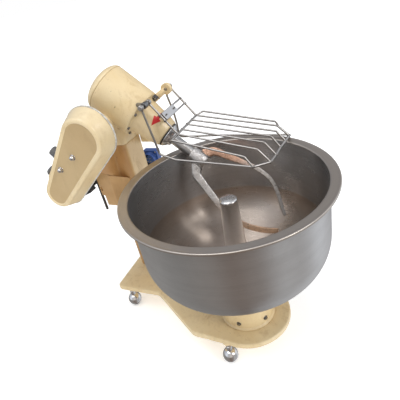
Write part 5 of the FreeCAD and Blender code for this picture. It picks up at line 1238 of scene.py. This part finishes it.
low = wramp(turn, [(psi(-180), (0.16, 0.14, 0.13)), (psi(-120), (0.40, 0.39, 0.38)), (psi(-80), (0.30, 0.29, 0.28)), (psi(-44), (0.32, 0.29, 0.27)), (psi(-14), (0.24, 0.19, 0.165)),
                   (psi(14), (0.30, 0.26, 0.24)), (psi(45), (0.56, 0.56, 0.57)), (psi(70), (0.44, 0.43, 0.43)), (psi(100), (0.92, 0.95, 1.0)), (psi(128), (0.60, 0.60, 0.62)), (psi(150), 0.24), (psi(180), (0.16, 0.14, 0.13))])
high = wramp(turn, [(psi(-180), (0.30, 0.31, 0.34)), (psi(-110), (0.62, 0.66, 0.74)), (psi(-70), (1.00, 1.06, 1.16)), (psi(-35), (0.60, 0.60, 0.62)), (psi(0), (0.78, 0.72, 0.66)),
                    (psi(35), (0.46, 0.42, 0.40)), (psi(75), (0.90, 0.93, 0.98)), (psi(112), (1.05, 1.12, 1.22)), (psi(150), (0.34, 0.33, 0.33)), (psi(180), (0.30, 0.31, 0.34))])
up_mask = wramp(wmath("MULTIPLY_ADD", sz, 0.5, 0.5), [(0.42, 0.0), (0.56, 1.0)])
zen = wramp(wmath("MULTIPLY_ADD", sz, 0.5, 0.5), [(0.80, 0.0), (0.96, 1.0)])
mirror = wmix(up_mask, low, high)
mirror = wmix(zen, mirror, (0.80, 0.83, 0.90))
lp = wnode("ShaderNodeLightPath")
bg_m, bg_f, bg_c = wnode("ShaderNodeBackground"), wnode("ShaderNodeBackground"), wnode("ShaderNodeBackground")
wt.links.new(mirror, bg_m.inputs[0])
bg_m.inputs[1].default_value = 1.0
bg_f.inputs[0].default_value = (0.96, 0.98, 1.0, 1)
bg_f.inputs[1].default_value = 0.62
bg_c.inputs[0].default_value = (1, 1, 1, 1)
bg_c.inputs[1].default_value = 1.0
m1, m2 = wnode("ShaderNodeMixShader"), wnode("ShaderNodeMixShader")
wt.links.new(lp.outputs["Is Glossy Ray"], m1.inputs[0])
wt.links.new(bg_f.outputs[0], m1.inputs[1])
wt.links.new(bg_m.outputs[0], m1.inputs[2])
wt.links.new(lp.outputs["Is Camera Ray"], m2.inputs[0])
wt.links.new(m1.outputs[0], m2.inputs[1])
wt.links.new(bg_c.outputs[0], m2.inputs[2])
wt.links.new(m2.outputs[0], wnode("ShaderNodeOutputWorld").inputs[0])


def area(name, loc, target, size, power, colour=(1, 1, 1), spec=1.0):
    d = bpy.data.lights.new(name, "AREA")
    d.shape = "RECTANGLE"
    d.size, d.size_y = size
    d.energy = power
    d.color = colour
    d.specular_factor = spec
    o = bpy.data.objects.new(name, d)
    bpy.context.scene.collection.objects.link(o)
    o.location = loc
    o.rotation_mode = "QUATERNION"
    o.rotation_quaternion = (Vector(target) - Vector(loc)).to_track_quat("-Z", "Y")
    return o


def sun(name, toward, power, angle, colour=(1, 1, 1)):
    d = bpy.data.lights.new(name, "SUN")
    d.energy = power
    d.angle = math.radians(angle)
    d.color = colour
    o = bpy.data.objects.new(name, d)
    bpy.context.scene.collection.objects.link(o)
    o.rotation_mode = "QUATERNION"
    o.rotation_quaternion = Vector(toward).to_track_quat("-Z", "Y")
    return o


sun("key", (0.18, 0.28, -1.20), 1.10, 45, (1.0, 0.99, 0.97))
sun("side", (-0.86, 0.16, -0.56), 1.02, 20, (1.0, 1.0, 1.0))

cam_d = bpy.data.cameras.new("camera")
cam_d.lens = 35.0
cam_d.sensor_width = 36.0
cam = bpy.data.objects.new("camera", cam_d)
bpy.context.scene.collection.objects.link(cam)
right, upv, fwd = Vector((0.9053, 0.3807, -0.1889)), Vector((-0.0586, 0.5522, 0.8316)), Vector((-0.4209, 0.7418, -0.5222))
cam.matrix_world = Matrix(((right.x, upv.x, -fwd.x, 0.665096), (right.y, upv.y, -fwd.y, -0.990186), (right.z, upv.z, -fwd.z, 1.2915), (0, 0, 0, 1)))
bpy.context.scene.camera = cam
vs = bpy.context.scene.view_settings
vs.view_transform = "Standard"
vs.look = "None"
vs.exposure = 0.0
vs.gamma = 1.0
